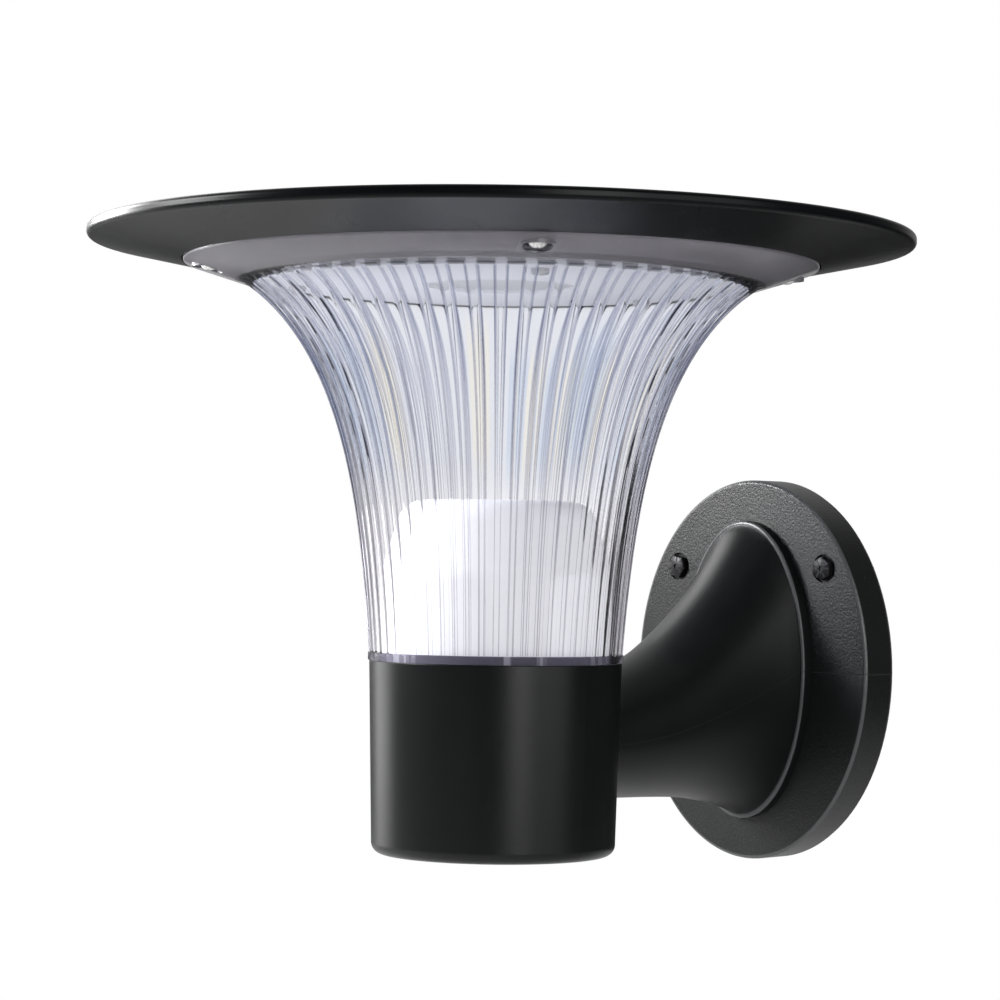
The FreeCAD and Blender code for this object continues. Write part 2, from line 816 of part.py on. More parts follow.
def hat_shell():
    """Black saucer: deck with the panel's recess, hollow rim, seal ledge, posts and bosses."""
    mouth = MOUTH_RADIUS
    ledge_low = LEDGE_LEVEL - HAT_MOUTH
    ledge_high = ledge_low + s.ledge_thickness
    rim_low = RIM_LOWER - HAT_MOUTH
    rim_high = RIM_UPPER - HAT_MOUTH
    lip = LIP_TOP - HAT_MOUTH
    deck_high = DECK_TOP - HAT_MOUTH
    deck_low = DECK_UNDER - HAT_MOUTH
    recess = s.panel_radius + s.panel_clearance
    under_slope = (s.rim_rise.value) / (HAT_RADIUS - mouth).value
    crown_slope = s.crown_rise.value / (HAT_RADIUS - recess).value
    tip_radius = HAT_RADIUS - s.rim_solid
    tip_level = rim_low - (HAT_RADIUS - tip_radius) * under_slope + s.hat_wall
    ledge_end = mouth + (ledge_high - s.hat_wall) / under_slope
    frame = recess + s.frame_width
    shell = revolved("hat_skin", [
        (s.wire_hole_radius, deck_low),
        (frame, deck_low),
        (frame, lip - (frame - recess) * crown_slope - s.hat_wall),
        (tip_radius, rim_high + (HAT_RADIUS - tip_radius) * crown_slope - s.hat_wall),
        (tip_radius, tip_level),
        (ledge_end, ledge_high),
        (FLANGE_RADIUS - s.ledge_reach, ledge_high),
        (FLANGE_RADIUS - s.ledge_reach, ledge_low),
        (mouth, ledge_low),
        (mouth, ZERO),
        (HAT_RADIUS, rim_low, s.rim_round),
        (HAT_RADIUS, rim_high, s.rim_round),
        (recess, lip, s.lip_round),
        (recess, deck_high),
        (s.wire_hole_radius, deck_high),
    ], y=-s.axis_reach, z=HAT_MOUTH)
    parts = [shell]
    holes = []
    boss_low = SEAL_LEVEL + s.flange_boss_gap
    for i in range(FLANGE_SCREW_COUNT):
        x, y = around(FLANGE_RADIUS - s.flange_screw_inset, math.degrees(flange_screw_turn(i)))
        parts.append(cylinder(
            f"flange_boss_{i}", s.flange_boss_radius, s.flange_boss_height, x, y, boss_low,
        ))
        holes.append(cylinder(
            f"flange_boss_hole_{i}", s.screw_radius + s.screw_fit, s.flange_boss_height - s.hat_wall,
            x, y, boss_low,
        ))
    post_height = DECK_UNDER - PLATE_TOP
    for i, degrees in enumerate(DECK_POST_TURNS):
        x, y = around(DECK_POST_RING, degrees)
        parts.append(cylinder(
            f"deck_post_{i}", s.deck_post_radius, post_height + s.deck_thickness / 2,
            x, y, PLATE_TOP,
        ))
        holes.append(cylinder(
            f"deck_post_hole_{i}", s.screw_radius + s.screw_fit, s.screw_length, x, y, PLATE_TOP,
        ))
    x, y = around(BUTTON_PLACE, BUTTON_TURN)
    holes.append(cylinder(
        "button_hole", s.button_radius + s.button_clearance, s.hat_wall * 4, x, y,
        HAT_MOUTH - s.hat_wall,
    ))
    holes.append(cylinder(
        "button_well", s.button_well_radius, SWITCH_BOARD_TOP - COLLAR_LEVEL, x, y, COLLAR_LEVEL,
    ))
    post = cylinder(
        "switch_post", s.switch_post_radius, s.switch_post_height + s.hat_wall / 2,
        x, y, SWITCH_BOARD_TOP,
    )
    return fuse("hat_shell", [cut("hat_opened", fuse("hat_solid", parts), holes), post])


def panel_cover():
    lift = s.panel_depth - s.cover_thickness
    return disc("panel_cover", s.panel_radius, s.cover_thickness, DECK_TOP + lift)


def panel_seal():
    inner = s.panel_radius - s.panel_seal_width
    height = s.panel_depth - s.cover_thickness
    return ring("panel_seal", inner, s.panel_radius, height, DECK_TOP)


def solar_cells():
    radius = s.panel_radius - s.panel_seal_width - s.panel_clearance
    return disc("solar_cells", radius, s.cells_thickness, DECK_TOP)


# White plate, window and light board above the lens

def reflector_plate():
    """White dished plate: window opening, rim on the lens seat, standoffs for the boards."""
    dish = s.rib_top_radius - s.lens_wall - s.plate_dish_clearance
    rim_low = s.seat_rise
    rim_high = rim_low + s.plate_rim_skin
    rim = s.rib_top_radius - s.lens_wall + s.plate_rim_width
    seat = s.window_radius + s.window_clearance
    plate = revolved("plate_skin_body", [
        (s.window_radius - s.window_lip, ZERO),
        (dish, ZERO, s.plate_edge_soft),
        (dish, rim_low),
        (rim, rim_low),
        (rim, rim_high),
        (dish - s.plate_skin, rim_high),
        (dish - s.plate_skin, s.plate_skin),
        (seat, s.plate_skin),
        (seat, s.window_seat),
        (s.window_radius - s.window_lip, s.window_seat),
    ], y=-s.axis_reach, z=RIB_TOP)
    parts = [plate]
    holes = []
    for name, radius, x, y in board_screw_places():
        parts.append(cylinder(
            f"standoff_{name}", radius, s.board_lift + s.plate_skin / 2,
            x, y, PLATE_TOP - s.plate_skin / 2,
        ))
        holes.append(cylinder(
            f"standoff_hole_{name}", s.board_screw_radius + s.screw_fit, s.board_lift, x, y, PLATE_TOP,
        ))
    for i, degrees in enumerate(DECK_POST_TURNS):
        x, y = around(DECK_POST_RING, degrees)
        holes.append(cylinder(
            f"plate_screw_hole_{i}", s.screw_radius + s.screw_clearance, s.plate_skin * 3,
            x, y, RIB_TOP - s.plate_skin,
        ))
    return cut("reflector_plate", fuse("plate_solid", parts), holes)


def board_screw_places():
    """Standoffs of the light board and of the control board."""
    places = []
    for i, degrees in enumerate(LIGHT_SCREW_TURNS):
        places.append((f"light_{i}", s.standoff_radius, *around(s.light_screw_ring, degrees)))
    across = s.control_width / 2 - s.control_inset
    along = s.control_length / 2 - s.control_inset
    for i, (side, end) in enumerate(((-1, -1), (1, -1), (1, 1), (-1, 1))):
        x = CONTROL_PLACE + across * side
        y = along * end - s.axis_reach
        places.append((f"control_{i}", s.standoff_radius, x, y))
    return places


def led_window():
    return disc("led_window", s.window_radius, s.window_thickness, RIB_TOP + s.window_seat)


def board_level():
    return PLATE_TOP + s.board_lift


def led_board():
    board = disc("light_board_blank", s.light_board_radius, s.board_thickness, board_level())
    holes = []
    for i, degrees in enumerate(LIGHT_SCREW_TURNS):
        x, y = around(s.light_screw_ring, degrees)
        holes.append(cylinder(
            f"light_board_hole_{i}", s.board_screw_radius + s.screw_clearance,
            s.board_thickness * 3, x, y, board_level() - s.board_thickness,
        ))
    return cut("led_board", board, holes)


def led_chips():
    """Light sources on the underside of their board."""
    doc.recompute()
    shapes = []
    for i in range(CHIP_COUNT):
        degrees = i * 360 / CHIP_COUNT
        width = s.chip_width.value
        chip = Part.makeBox(width, width, s.chip_height.value, Vector(-width / 2, -width / 2, 0))
        chip.translate(Vector(s.chip_ring.value, 0, 0))
        chip.rotate(Vector(), Vector(0, 0, 1), degrees)
        shapes.append(chip)
    node = doc.addObject("Part::Feature", "led_chips")
    node.Shape = Part.makeCompound(shapes)
    return place(node, y=-s.axis_reach, z=board_level() - s.chip_height)


def control_board():
    board = box(
        "control_blank", s.control_width, s.control_length, s.board_thickness,
        CONTROL_PLACE, -s.axis_reach, board_level(),
    )
    holes = []
    for name, radius, x, y in board_screw_places():
        if name.startswith("control"):
            holes.append(cylinder(
                f"control_hole_{name}", s.board_screw_radius + s.screw_clearance,
                s.board_thickness * 3, x, y, board_level() - s.board_thickness,
            ))
    return cut("control_board", board, holes)


def board_parts():
    """Coil, two chips and a capacitor on the control board."""
    top = (board_level() + s.board_thickness).value
    middle = Vector(CONTROL_PLACE.value, -s.axis_reach.value, top)
    along = s.control_length.value / 6
    up = Vector(0, 0, 1)
    coil = Part.makeCylinder(s.coil_radius.value, s.coil_height.value, middle + Vector(0, along, 0))
    shapes = [coil]
    width = s.chip_body_width.value
    length = s.chip_body_length.value
    for step in (-1, 0):
        corner = middle + Vector(-width / 2, along * (step - 0.5) - length / 2, 0)
        shapes.append(Part.makeBox(width, length, s.chip_body_height.value, corner, up))
    side = s.control_width.value / 4
    shapes.append(Part.makeCylinder(
        s.capacitor_radius.value, s.capacitor_height.value, middle + Vector(side, -along / 2, 0),
    ))
    node = doc.addObject("Part::Feature", "board_parts")
    node.Shape = Part.makeCompound(shapes)
    return node


def board_screws(source):
    spots = [(x, y, board_level() + s.board_thickness) for name, radius, x, y in board_screw_places()]
    return copies("board_screws", source, s.board_screw_head_height, spots, DOWN)


def plate_screws(source):
    spots = [(*around(DECK_POST_RING, degrees), RIB_TOP) for degrees in DECK_POST_TURNS]
    return copies("plate_screws", source, s.screw_head_height, spots, UP)


# Cells and their cradle

def cell_middle(side):
    return -HOLDER_PLACE + (s.cell_radius + s.cell_gap / 2) * side


def cell_level():
    return PLATE_TOP + s.holder_floor + s.cell_radius


def battery_cells():
    """Two cylindrical cells side by side, their button ends to opposite sides."""
    shapes = []
    for side in (-1, 1):
        middle = Vector(cell_middle(side).value, -s.axis_reach.value, cell_level().value)
        forward = Vector(0, side, 0)
        start = middle - forward * (s.cell_length.value / 2)
        body_length = (s.cell_length - s.cell_cap_height).value
        body = Part.makeCylinder(s.cell_radius.value, body_length, start, forward)
        cap = Part.makeCylinder(
            s.cell_cap_radius.value, s.cell_cap_height.value, start + forward * body_length, forward,
        )
        shapes.append(body.fuse(cap).removeSplitter())
    node = doc.addObject("Part::Feature", "battery_cells")
    node.Shape = Part.makeCompound(shapes)
    return node


def battery_holder():
    """Open cradle with a trough for each cell and a wall at each end."""
    inside_width = s.cell_radius * 4 + s.cell_gap
    inside_length = s.cell_length + s.holder_end_gap * 2
    block = box(
        "holder_block", inside_width + s.holder_wall * 2, inside_length + s.holder_wall * 2,
        s.holder_rise, -HOLDER_PLACE, -s.axis_reach, PLATE_TOP,
    )
    troughs = []
    for i, side in enumerate((-1, 1)):
        troughs.append(cylinder(
            f"holder_trough_{i}", s.cell_radius + s.cell_gap / 4, inside_length,
            cell_middle(side), -s.axis_reach - inside_length / 2, cell_level(), TO_WALL,
        ))
        troughs.append(box(
            f"holder_mouth_{i}", s.cell_radius * 2 + s.cell_gap / 2, inside_length, s.holder_rise,
            cell_middle(side), -s.axis_reach, cell_level(),
        ))
    return cut("battery_holder", block, troughs)


# Wires between the boards, the cells and the panel

def wire(name, route):
    """A round wire along straight runs joined by tangent arcs."""
    points = [Vector(x.value, y.value, z.value) for x, y, z in route]
    edges = []
    start = points[0]
    for before, corner, after in zip(points, points[1:], points[2:]):
        back = (before - corner).normalize()
        ahead = (after - corner).normalize()
        half = back.getAngle(ahead) / 2
        reach = s.wire_bend.value / math.tan(half)
        first, last = corner + back * reach, corner + ahead * reach
        out = (back + ahead).normalize()
        middle = corner + out * (s.wire_bend.value / math.sin(half) - s.wire_bend.value)
        edges.append(Part.LineSegment(start, first).toShape())
        edges.append(Part.Arc(first, middle, last).toShape())
        start = last
    edges.append(Part.LineSegment(start, points[-1]).toShape())
    path = Part.Wire(edges)
    circle = Part.Circle(points[0], points[1] - points[0], s.wire_radius.value)
    section = Part.Wire([circle.toShape()])
    node = doc.addObject("Part::Feature", name)
    node.Shape = path.makePipeShell([section], True, False)
    return node


def board_wires():
    """Leads of the panel, of the light board, of the cells and of the switch, a pair each."""
    top = board_level() + s.board_thickness
    run = top + s.wire_bend + s.wire_radius
    high = PLATE_TOP + s.holder_rise + s.contact_tab_thickness + s.wire_bend + s.wire_radius
    axis = -s.axis_reach
    landing = CONTROL_PLACE - s.control_width / 2 + s.control_inset
    inner_landing = landing + s.control_inset
    light_spot = s.light_board_radius - s.chip_ring / 2
    light_lane = s.control_length / 6
    cell_end = s.cell_length / 2 + s.holder_end_gap + s.holder_wall / 2
    cell_tab = PLATE_TOP + s.holder_rise + s.contact_tab_thickness
    cell_spot = cell_middle(1)
    cell_landing = s.control_length / 3
    lane_out = s.control_length / 2 + s.holder_rise / 2
    switch_x = -BUTTON_PLACE + s.switch_board_width / 2
    made = []
    for colour, side in (("red", 1), ("black", -1)):
        lane = axis + s.wire_spread * side / 2
        made.append(wire(f"panel_lead_{colour}", [
            (ZERO, lane, DECK_TOP),
            (ZERO, lane, run),
            (landing, lane, run),
            (landing, lane, top),
        ]))
        lane = axis + light_lane + s.wire_spread * side / 2
        made.append(wire(f"light_lead_{colour}", [
            (light_spot, lane, top),
            (light_spot, lane, run),
            (landing, lane, run),
            (landing, lane, top),
        ]))
        made.append(wire(f"cell_lead_{colour}", [
            (cell_spot, axis + cell_end * side, cell_tab),
            (cell_spot, axis + cell_end * side, high),
            (cell_spot + s.cell_radius * 2, axis + cell_end * side, high),
            (inner_landing, axis + cell_landing * side, high),
            (inner_landing, axis + cell_landing * side, top),
        ]))
        start = axis + s.wire_spread * side / 2
        lane = axis - lane_out + s.wire_spread * side / 2
        along = s.wire_spread * side
        made.append(wire(f"switch_lead_{colour}", [
            (switch_x, start, SWITCH_BOARD_TOP - s.switch_board_thickness / 2),
            (switch_x + BUTTON_PLACE / 8 + along / 2, start,
             SWITCH_BOARD_TOP - s.switch_board_thickness / 2),
            (-HOLDER_PLACE * 1.5 + along / 2, lane, run),
            (light_spot - along / 2, lane, run),
            (landing, axis - light_lane + along / 2, run),
            (landing, axis - light_lane + along / 2, top),
        ]))
    return made


def battery_contacts():
    """A plate between each end of each cell and the cradle's end wall, its tab over the wall."""
    shapes = []
    low = (PLATE_TOP + s.holder_floor + s.cell_radius / 2).value
    height = (PLATE_TOP + s.holder_rise).value - low
    width = s.cell_radius.value
    depth = s.holder_end_gap.value
    for side in (-1, 1):
        for end in (-1, 1):
            y = -s.axis_reach.value + end * (s.cell_length.value / 2 + depth / 2) - depth / 2
            middle = cell_middle(side).value
            blade = Part.makeBox(width, depth, height, Vector(middle - width / 2, y, low))
            reach = depth + s.holder_wall.value
            tab_y = y if end > 0 else y - s.holder_wall.value
            tab = Part.makeBox(
                s.contact_tab_width.value, reach, s.contact_tab_thickness.value,
                Vector(middle - s.contact_tab_width.value / 2, tab_y, low + height),
            )
            shapes.append(blade.fuse(tab).removeSplitter())
    node = doc.addObject("Part::Feature", "battery_contacts")
    node.Shape = Part.makeCompound(shapes)
    return node


# Push button in the underside of the hat

UNDER_SHARE = s.button_inset.value / (HAT_RADIUS - MOUTH_RADIUS).value
CROWN_SHARE = (BUTTON_PLACE - s.panel_radius - s.panel_clearance).value / (
    HAT_RADIUS - s.panel_radius - s.panel_clearance
).value
UNDER_LEVEL = HAT_MOUTH + s.rim_rise * UNDER_SHARE
COLLAR_LEVEL = UNDER_LEVEL + s.hat_wall
SWITCH_ROOF = LIP_TOP - s.crown_rise * CROWN_SHARE - s.hat_wall
SWITCH_BOARD_TOP = SWITCH_ROOF - s.switch_post_height
SWITCH_LEVEL = SWITCH_BOARD_TOP - s.switch_board_thickness - s.switch_height


def button_spot():
    return around(BUTTON_PLACE, BUTTON_TURN)


def power_button():
    """Round push button with a collar that keeps it in the hat and a stem to the switch."""
    x, y = button_spot()
    low = UNDER_LEVEL - s.button_proud
    collar = COLLAR_LEVEL - low
    stem = SWITCH_LEVEL - s.switch_key_height - s.button_travel - s.screw_fit - low
    return revolved("power_button", [
        (ZERO, ZERO),
        (s.button_radius, ZERO, s.button_edge_round),
        (s.button_radius, collar),
        (s.button_radius + s.button_collar, collar),
        (s.button_radius + s.button_collar, collar + s.button_collar_height),
        (s.button_stem_radius, collar + s.button_collar_height),
        (s.button_stem_radius, stem),
        (ZERO, stem),
    ], x, y, low)


def button_spring():
    """Light coil between the button's collar and the switch."""
    x, y = button_spot()
    low = COLLAR_LEVEL + s.button_collar_height
    height = (SWITCH_LEVEL - low).value
    thick = s.spring_wire_radius.value
    rise = height - 2 * thick
    helix = Part.makeHelix(rise / SPRING_TURNS, rise, s.spring_radius.value)
    circle = Part.Circle(Vector(s.spring_radius.value, 0, 0), Vector(0, 1, 0), thick)
    node = doc.addObject("Part::Feature", "button_spring")
    node.Shape = Part.Wire(helix.Edges).makePipeShell([Part.Wire([circle.toShape()])], True, True)
    return place(node, x, y, low + s.spring_wire_radius)


def switch_body():
    x, y = button_spot()
    case = box("switch_case", s.switch_width, s.switch_width, s.switch_height, x, y, SWITCH_LEVEL)
    key = cylinder(
        "switch_key", s.switch_key_radius, s.switch_key_height + s.switch_height / 2,
        x, y, SWITCH_LEVEL - s.switch_key_height,
    )
    return fuse("switch_body", [case, key])


def switch_board():
    x, y = button_spot()
    return box(
        "switch_board", s.switch_board_width, s.switch_board_width, s.switch_board_thickness,
        x, y, SWITCH_BOARD_TOP - s.switch_board_thickness,
    )


# Arm

def ellipse_edges(half_width, half_height, middle, y):
    """An upright ellipse at distance y from the wall side, as two half arcs."""
    centre = Vector(0, y, middle)
    if half_height >= half_width:
        curve = Part.Ellipse(centre + Vector(0, 0, half_height), centre + Vector(half_width, 0, 0), centre)
    else:
        curve = Part.Ellipse(centre + Vector(half_width, 0, 0), centre + Vector(0, 0, half_height), centre)
    return Part.Wire([curve.toShape()])


def arm_wires(inset):
    """The arm's sections from the cup to the root, each drawn in by the inset."""
    start = -s.axis_reach.value + s.base_radius.value - s.arm_overlap.value
    finish = -(PLATE_FRONT + s.root_lip).value
    top_step = (s.root_half_height - s.end_top).value
    bottom_step = (-s.root_half_height - s.end_bottom).value
    width_step = (s.root_half_width - s.end_half_width).value
    cup_foot = (s.base_radius - s.base_taper).value
    tucked = math.sqrt(cup_foot ** 2 - s.end_half_width.value ** 2) - s.arm_overlap.value
    sections = [(tucked - s.axis_reach.value, ARM_SHARES[0])]
    sections += [(start + (finish - start) * shares[0], shares) for shares in ARM_SHARES]
    wires = []
    for y, (along, top_share, bottom_share, width_share) in sections:
        top = s.end_top.value + top_step * top_share - inset
        bottom = s.end_bottom.value + bottom_step * bottom_share + inset
        width = s.end_half_width.value + width_step * width_share - inset
        wires.append(ellipse_edges(width, (top - bottom) / 2, (top + bottom) / 2, y))
    return wires


def root_spots(level):
    spots = []
    for across in (-1, 1):
        for up in (-1, 1):
            spots.append((s.root_screw_across * across, level, s.root_screw_up * up))
    return spots


def arm():
    """Hollow curved arm: closed where it meets the cup, oval root with a lip on the plate."""
    skin = Part.makeLoft(arm_wires(0), True, False)
    inside = Part.makeLoft(arm_wires(s.arm_wall.value), True, False)
    start = -s.axis_reach.value + s.base_radius.value + s.arm_end_block.value
    finish = -(PLATE_FRONT + s.root_lip + s.root_floor).value
    reach = s.root_half_height.value * 2
    window = Part.makeBox(reach * 2, finish - start, reach * 2, Vector(-reach, start, -reach))
    root_wire = ellipse_edges(
        s.root_half_width.value, s.root_half_height.value, 0, -(PLATE_FRONT + s.root_lip).value,
    )
    root = Part.Face(root_wire).extrude(Vector(0, s.root_lip.value, 0))
    cup_top = BASE_TOP.value
    gap = s.joint_gap.value
    cup = Part.makeCone(
        (s.base_radius - s.base_taper).value + gap, s.base_radius.value + gap,
        s.base_height.value, Vector(0, -s.axis_reach.value, BASE_BOTTOM.value),
    )
    tools = [inside.common(window), cup]
    for x, y, z in root_spots(-PLATE_FRONT):
        tools.append(Part.makeCylinder(
            (s.root_screw_radius + s.screw_fit).value, s.root_screw_length.value,
            Vector(x.value, y.value, z.value), Vector(0, -1, 0),
        ))
    for side in (-1, 1):
        tools.append(Part.makeCylinder(
            (s.arm_bolt_radius + s.screw_fit).value, s.arm_end_block.value * 1.2,
            Vector(s.arm_bolt_across.value * side, start - s.arm_end_block.value * 1.3,
                   -s.arm_bolt_level.value), Vector(0, 1, 0),
        ))
    node = doc.addObject("Part::Feature", "arm")
    node.Shape = skin.fuse(root).cut(Part.makeCompound(tools[:1])).cut(tools[1]).cut(
        Part.makeCompound(tools[2:])
    )
    return node


def arm_bolts(source):
    level = s.base_radius - s.base_wall - s.base_taper - s.bolt_pad_depth - s.axis_reach
    spots = [(s.arm_bolt_across * side, level, -s.arm_bolt_level) for side in (-1, 1)]
    return copies("arm_bolts", source, s.large_head_height, spots, TO_WALL)


def root_screws(source):
    level = -PLATE_FRONT + s.plate_wall
    return copies("root_screws", source, s.large_head_height, root_spots(level), FROM_WALL)


# Wall plate, pad and wall screws

def oval(name, half_width, half_height, depth, y):
    """An oval slab that stands on the plane at y and grows towards the lamp."""
    outline = doc.addObject("Part::Ellipse", f"{name}_outline")
    bind(outline, MajorRadius=half_height, MinorRadius=half_width)
    turn = Rotation(Vector(1, 0, 0), 90) * Rotation(Vector(0, 0, 1), 90)
    place(outline, y=y, turn=turn)
    slab = doc.addObject("Part::Extrusion", name)
    slab.Base = outline
    slab.DirMode = "Custom"
    slab.Dir = Vector(0, -1, 0)
    slab.Solid = True
    bind(slab, LengthFwd=depth)
    return slab


def wall_spots(y):
    half = s.wall_screw_spread / 2
    return [(half * side, y, s.wall_screw_rise) for side in (-1, 1)]


def rods_through(name, radius, length, spots, turn):
    return [cylinder(f"{name}_{i}", radius, length, *at, turn) for i, at in enumerate(spots)]


def back_plate():
    """Oval wall plate: rounded front edge, hollow behind, bosses and recesses for its screws."""
    slab = oval("plate_slab", s.plate_half_width, s.plate_half_height, s.plate_depth, -s.pad_thickness)
    doc.recompute()
    front = -PLATE_FRONT.value
    rim = [i + 1 for i, edge in enumerate(slab.Shape.Edges)
           if abs(edge.BoundBox.YMin - front) < s.screw_fit.value
           and edge.BoundBox.YLength < s.screw_fit.value]
    rounded = doc.addObject("Part::Fillet", "plate_rounded")
    rounded.Base = slab
    rounded.Edges = [(i, s.plate_edge_round.value, s.plate_edge_round.value) for i in rim]
    hollow = oval(
        "plate_hollow", s.plate_half_width - s.plate_wall, s.plate_half_height - s.plate_wall,
        s.plate_depth - s.plate_wall, -s.pad_thickness,
    )
    shell = cut("plate_shell", rounded, [hollow])
    boss_length = s.plate_depth - s.plate_wall / 2
    bosses = rods_through(
        "plate_boss", s.wall_boss_radius, boss_length, wall_spots(-s.pad_thickness), FROM_WALL,
    )
    recess_radius = s.washer_radius + s.hex_recess_clearance
    recesses = rods_through(
        "plate_recess", recess_radius, s.hex_recess_depth,
        wall_spots(s.hex_recess_depth - PLATE_FRONT), FROM_WALL,
    )
    holes = rods_through(
        "plate_hole", s.wall_shank_radius + s.wall_screw_clearance, s.plate_depth * 2,
        wall_spots(s.plate_depth / 2), FROM_WALL,
    )
    roots = rods_through(
        "plate_root_hole", s.root_screw_radius + s.screw_clearance, s.plate_wall * 3,
        root_spots(s.plate_wall * 2 - PLATE_FRONT), FROM_WALL,
    )
    return cut("back_plate", fuse("plate_solid_body", [shell] + bosses), recesses + holes + roots)


def wall_pad():
    pad = oval(
        "pad_slab", s.plate_half_width - s.pad_inset, s.plate_half_height - s.pad_inset,
        s.pad_thickness, ZERO,
    )
    holes = rods_through(
        "pad_hole", s.wall_shank_radius + s.wall_screw_clearance, s.pad_thickness * 3,
        wall_spots(s.pad_thickness), FROM_WALL,
    )
    return cut("wall_pad", pad, holes)


def hex_screw():
    """One wall screw along +Y, the underside of its hexagonal head at the origin."""
    corner = s.hex_across_flats.value / math.sqrt(3)
    height = s.hex_height.value
    points = [
        Vector(corner * math.cos(math.radians(60 * i)), 0, corner * math.sin(math.radians(60 * i)))
        for i in range(7)
    ]
    head = Part.Face(Part.makePolygon(points)).extrude(Vector(0, -height, 0))
    flat = s.hex_across_flats.value / 2 * HEX_FLAT_SHARE
    chamfer = Part.makeCone(flat + height * 2, flat, height, Vector(), Vector(0, -1, 0))
    dimple = Part.makeCylinder(
        s.hex_dimple_radius.value, s.hex_dimple_depth.value, Vector(0, -height, 0), Vector(0, 1, 0),
    )
    radius = s.wall_screw_radius.value
    plain = (PLATE_FRONT - s.hex_recess_depth + s.washer_thickness).value
    bite = (s.wall_screw_reach - s.wall_screw_point).value
    shank = Part.makeCylinder(s.wall_shank_radius.value, plain, Vector(), Vector(0, 1, 0))
    thread = Part.makeCylinder(radius, bite, Vector(0, plain, 0), Vector(0, 1, 0))
    point = Part.makeCone(
        radius, radius * POINT_SHARE, s.wall_screw_point.value,
        Vector(0, plain + bite, 0), Vector(0, 1, 0),
    )
    return head.common(chamfer).cut(dimple).fuse([shank, thread, point]).removeSplitter()


def wall_screws():
    shapes = []
    for x, y, z in wall_spots(s.hex_recess_depth - PLATE_FRONT - s.washer_thickness):
        shape = hex_screw()
        shape.translate(Vector(x.value, y.value, z.value))
        shapes.append(shape)
    node = doc.addObject("Part::Feature", "wall_screws")
    node.Shape = Part.makeCompound(shapes)
    return node


def screw_washers():
    shapes = []
    for x, y, z in wall_spots(s.hex_recess_depth - PLATE_FRONT):
        at = Vector(x.value, y.value, z.value)
        outer = Part.makeCylinder(s.washer_radius.value, s.washer_thickness.value, at, Vector(0, -1, 0))
        hole = Part.makeCylinder(
            (s.wall_shank_radius + s.screw_fit).value, s.washer_thickness.value, at, Vector(0, -1, 0),
        )
        shapes.append(outer.cut(hole))
    node = doc.addObject("Part::Feature", "screw_washers")
    node.Shape = Part.makeCompound(shapes)
    return node


# The whole lamp

def build():
    small = screw("screw_source", s.screw_radius, s.screw_length, s.screw_head_radius,
                  s.screw_head_height)
    tiny = screw("board_screw_source", s.board_screw_radius, s.board_screw_length,
                 s.board_screw_head_radius, s.board_screw_head_height)
    root = screw("root_screw_source", s.root_screw_radius, s.root_screw_length,
                 s.large_head_radius, s.large_head_height)
    bolt = screw("arm_bolt_source", s.arm_bolt_radius, s.arm_bolt_length,
                 s.bolt_head_radius, s.large_head_height)
    nodes = [
        hat_shell(), panel_cover(), panel_seal(), solar_cells(),
        reflector_plate(), led_window(), led_board(), led_chips(),
        control_board(), board_parts(), board_screws(tiny), plate_screws(small),
        battery_cells(), battery_holder(), battery_contacts(),
        power_button(), button_spring(), switch_body(), switch_board(),
        lens(), lens_seal(), flange_screws(small), reflector_dome(), lens_screws(small),
        base_cup(), base_seal(), arm_bolts(bolt),
        arm(), root_screws(root),
        back_plate(), wall_pad(), wall_screws(), screw_washers(),
    ]
    return nodes + board_wires()


def check(nodes):
    """Stops if any object of the document failed, or a piece isn't a sound solid."""
    for thing in doc.Objects:
        if "Invalid" in thing.State or "Error" in thing.State:
            raise RuntimeError(f"{thing.Name} failed: {thing.State}")
    for node in nodes:
        shape = node.Shape
        if shape.isNull() or not shape.isValid() or not shape.Solids:
            raise RuntimeError(f"{node.Name} isn't a sound solid")


def write(nodes):
    os.makedirs("parts", exist_ok=True)
    for node in nodes:
        node.Label = node.Name
        node.Shape.exportStep(f"parts/{node.Name}.step")
        print(f"{node.Name}: {len(node.Shape.Solids)} solids, {node.Shape.Volume:.1f} mm3")


NODES = build()
doc.recompute()
check(NODES)
write(NODES)
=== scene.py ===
import math

import bmesh
import bpy
from mathutils import Matrix, Vector
from mathutils.geometry import interpolate_bezier


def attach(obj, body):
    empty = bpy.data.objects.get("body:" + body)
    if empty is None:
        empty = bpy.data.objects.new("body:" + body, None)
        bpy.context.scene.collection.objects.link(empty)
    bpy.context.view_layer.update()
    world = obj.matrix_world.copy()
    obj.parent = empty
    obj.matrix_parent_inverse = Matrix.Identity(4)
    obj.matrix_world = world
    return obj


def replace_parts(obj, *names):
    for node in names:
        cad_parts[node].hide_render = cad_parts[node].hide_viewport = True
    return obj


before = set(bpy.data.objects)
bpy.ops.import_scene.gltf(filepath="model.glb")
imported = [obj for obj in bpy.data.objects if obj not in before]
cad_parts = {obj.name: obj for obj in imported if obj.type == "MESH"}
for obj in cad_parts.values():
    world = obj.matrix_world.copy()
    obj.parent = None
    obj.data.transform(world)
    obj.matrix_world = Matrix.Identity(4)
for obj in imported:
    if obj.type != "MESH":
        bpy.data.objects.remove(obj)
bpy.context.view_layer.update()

# Saucer hat. One moulding in black weatherproof plastic with a finely grained satin skin. Its
# rim is hollow, a ledge inside takes the lens seal, and the top has a round seat for the panel.

MM = 0.001
LAMP_Y = -138.0 * MM


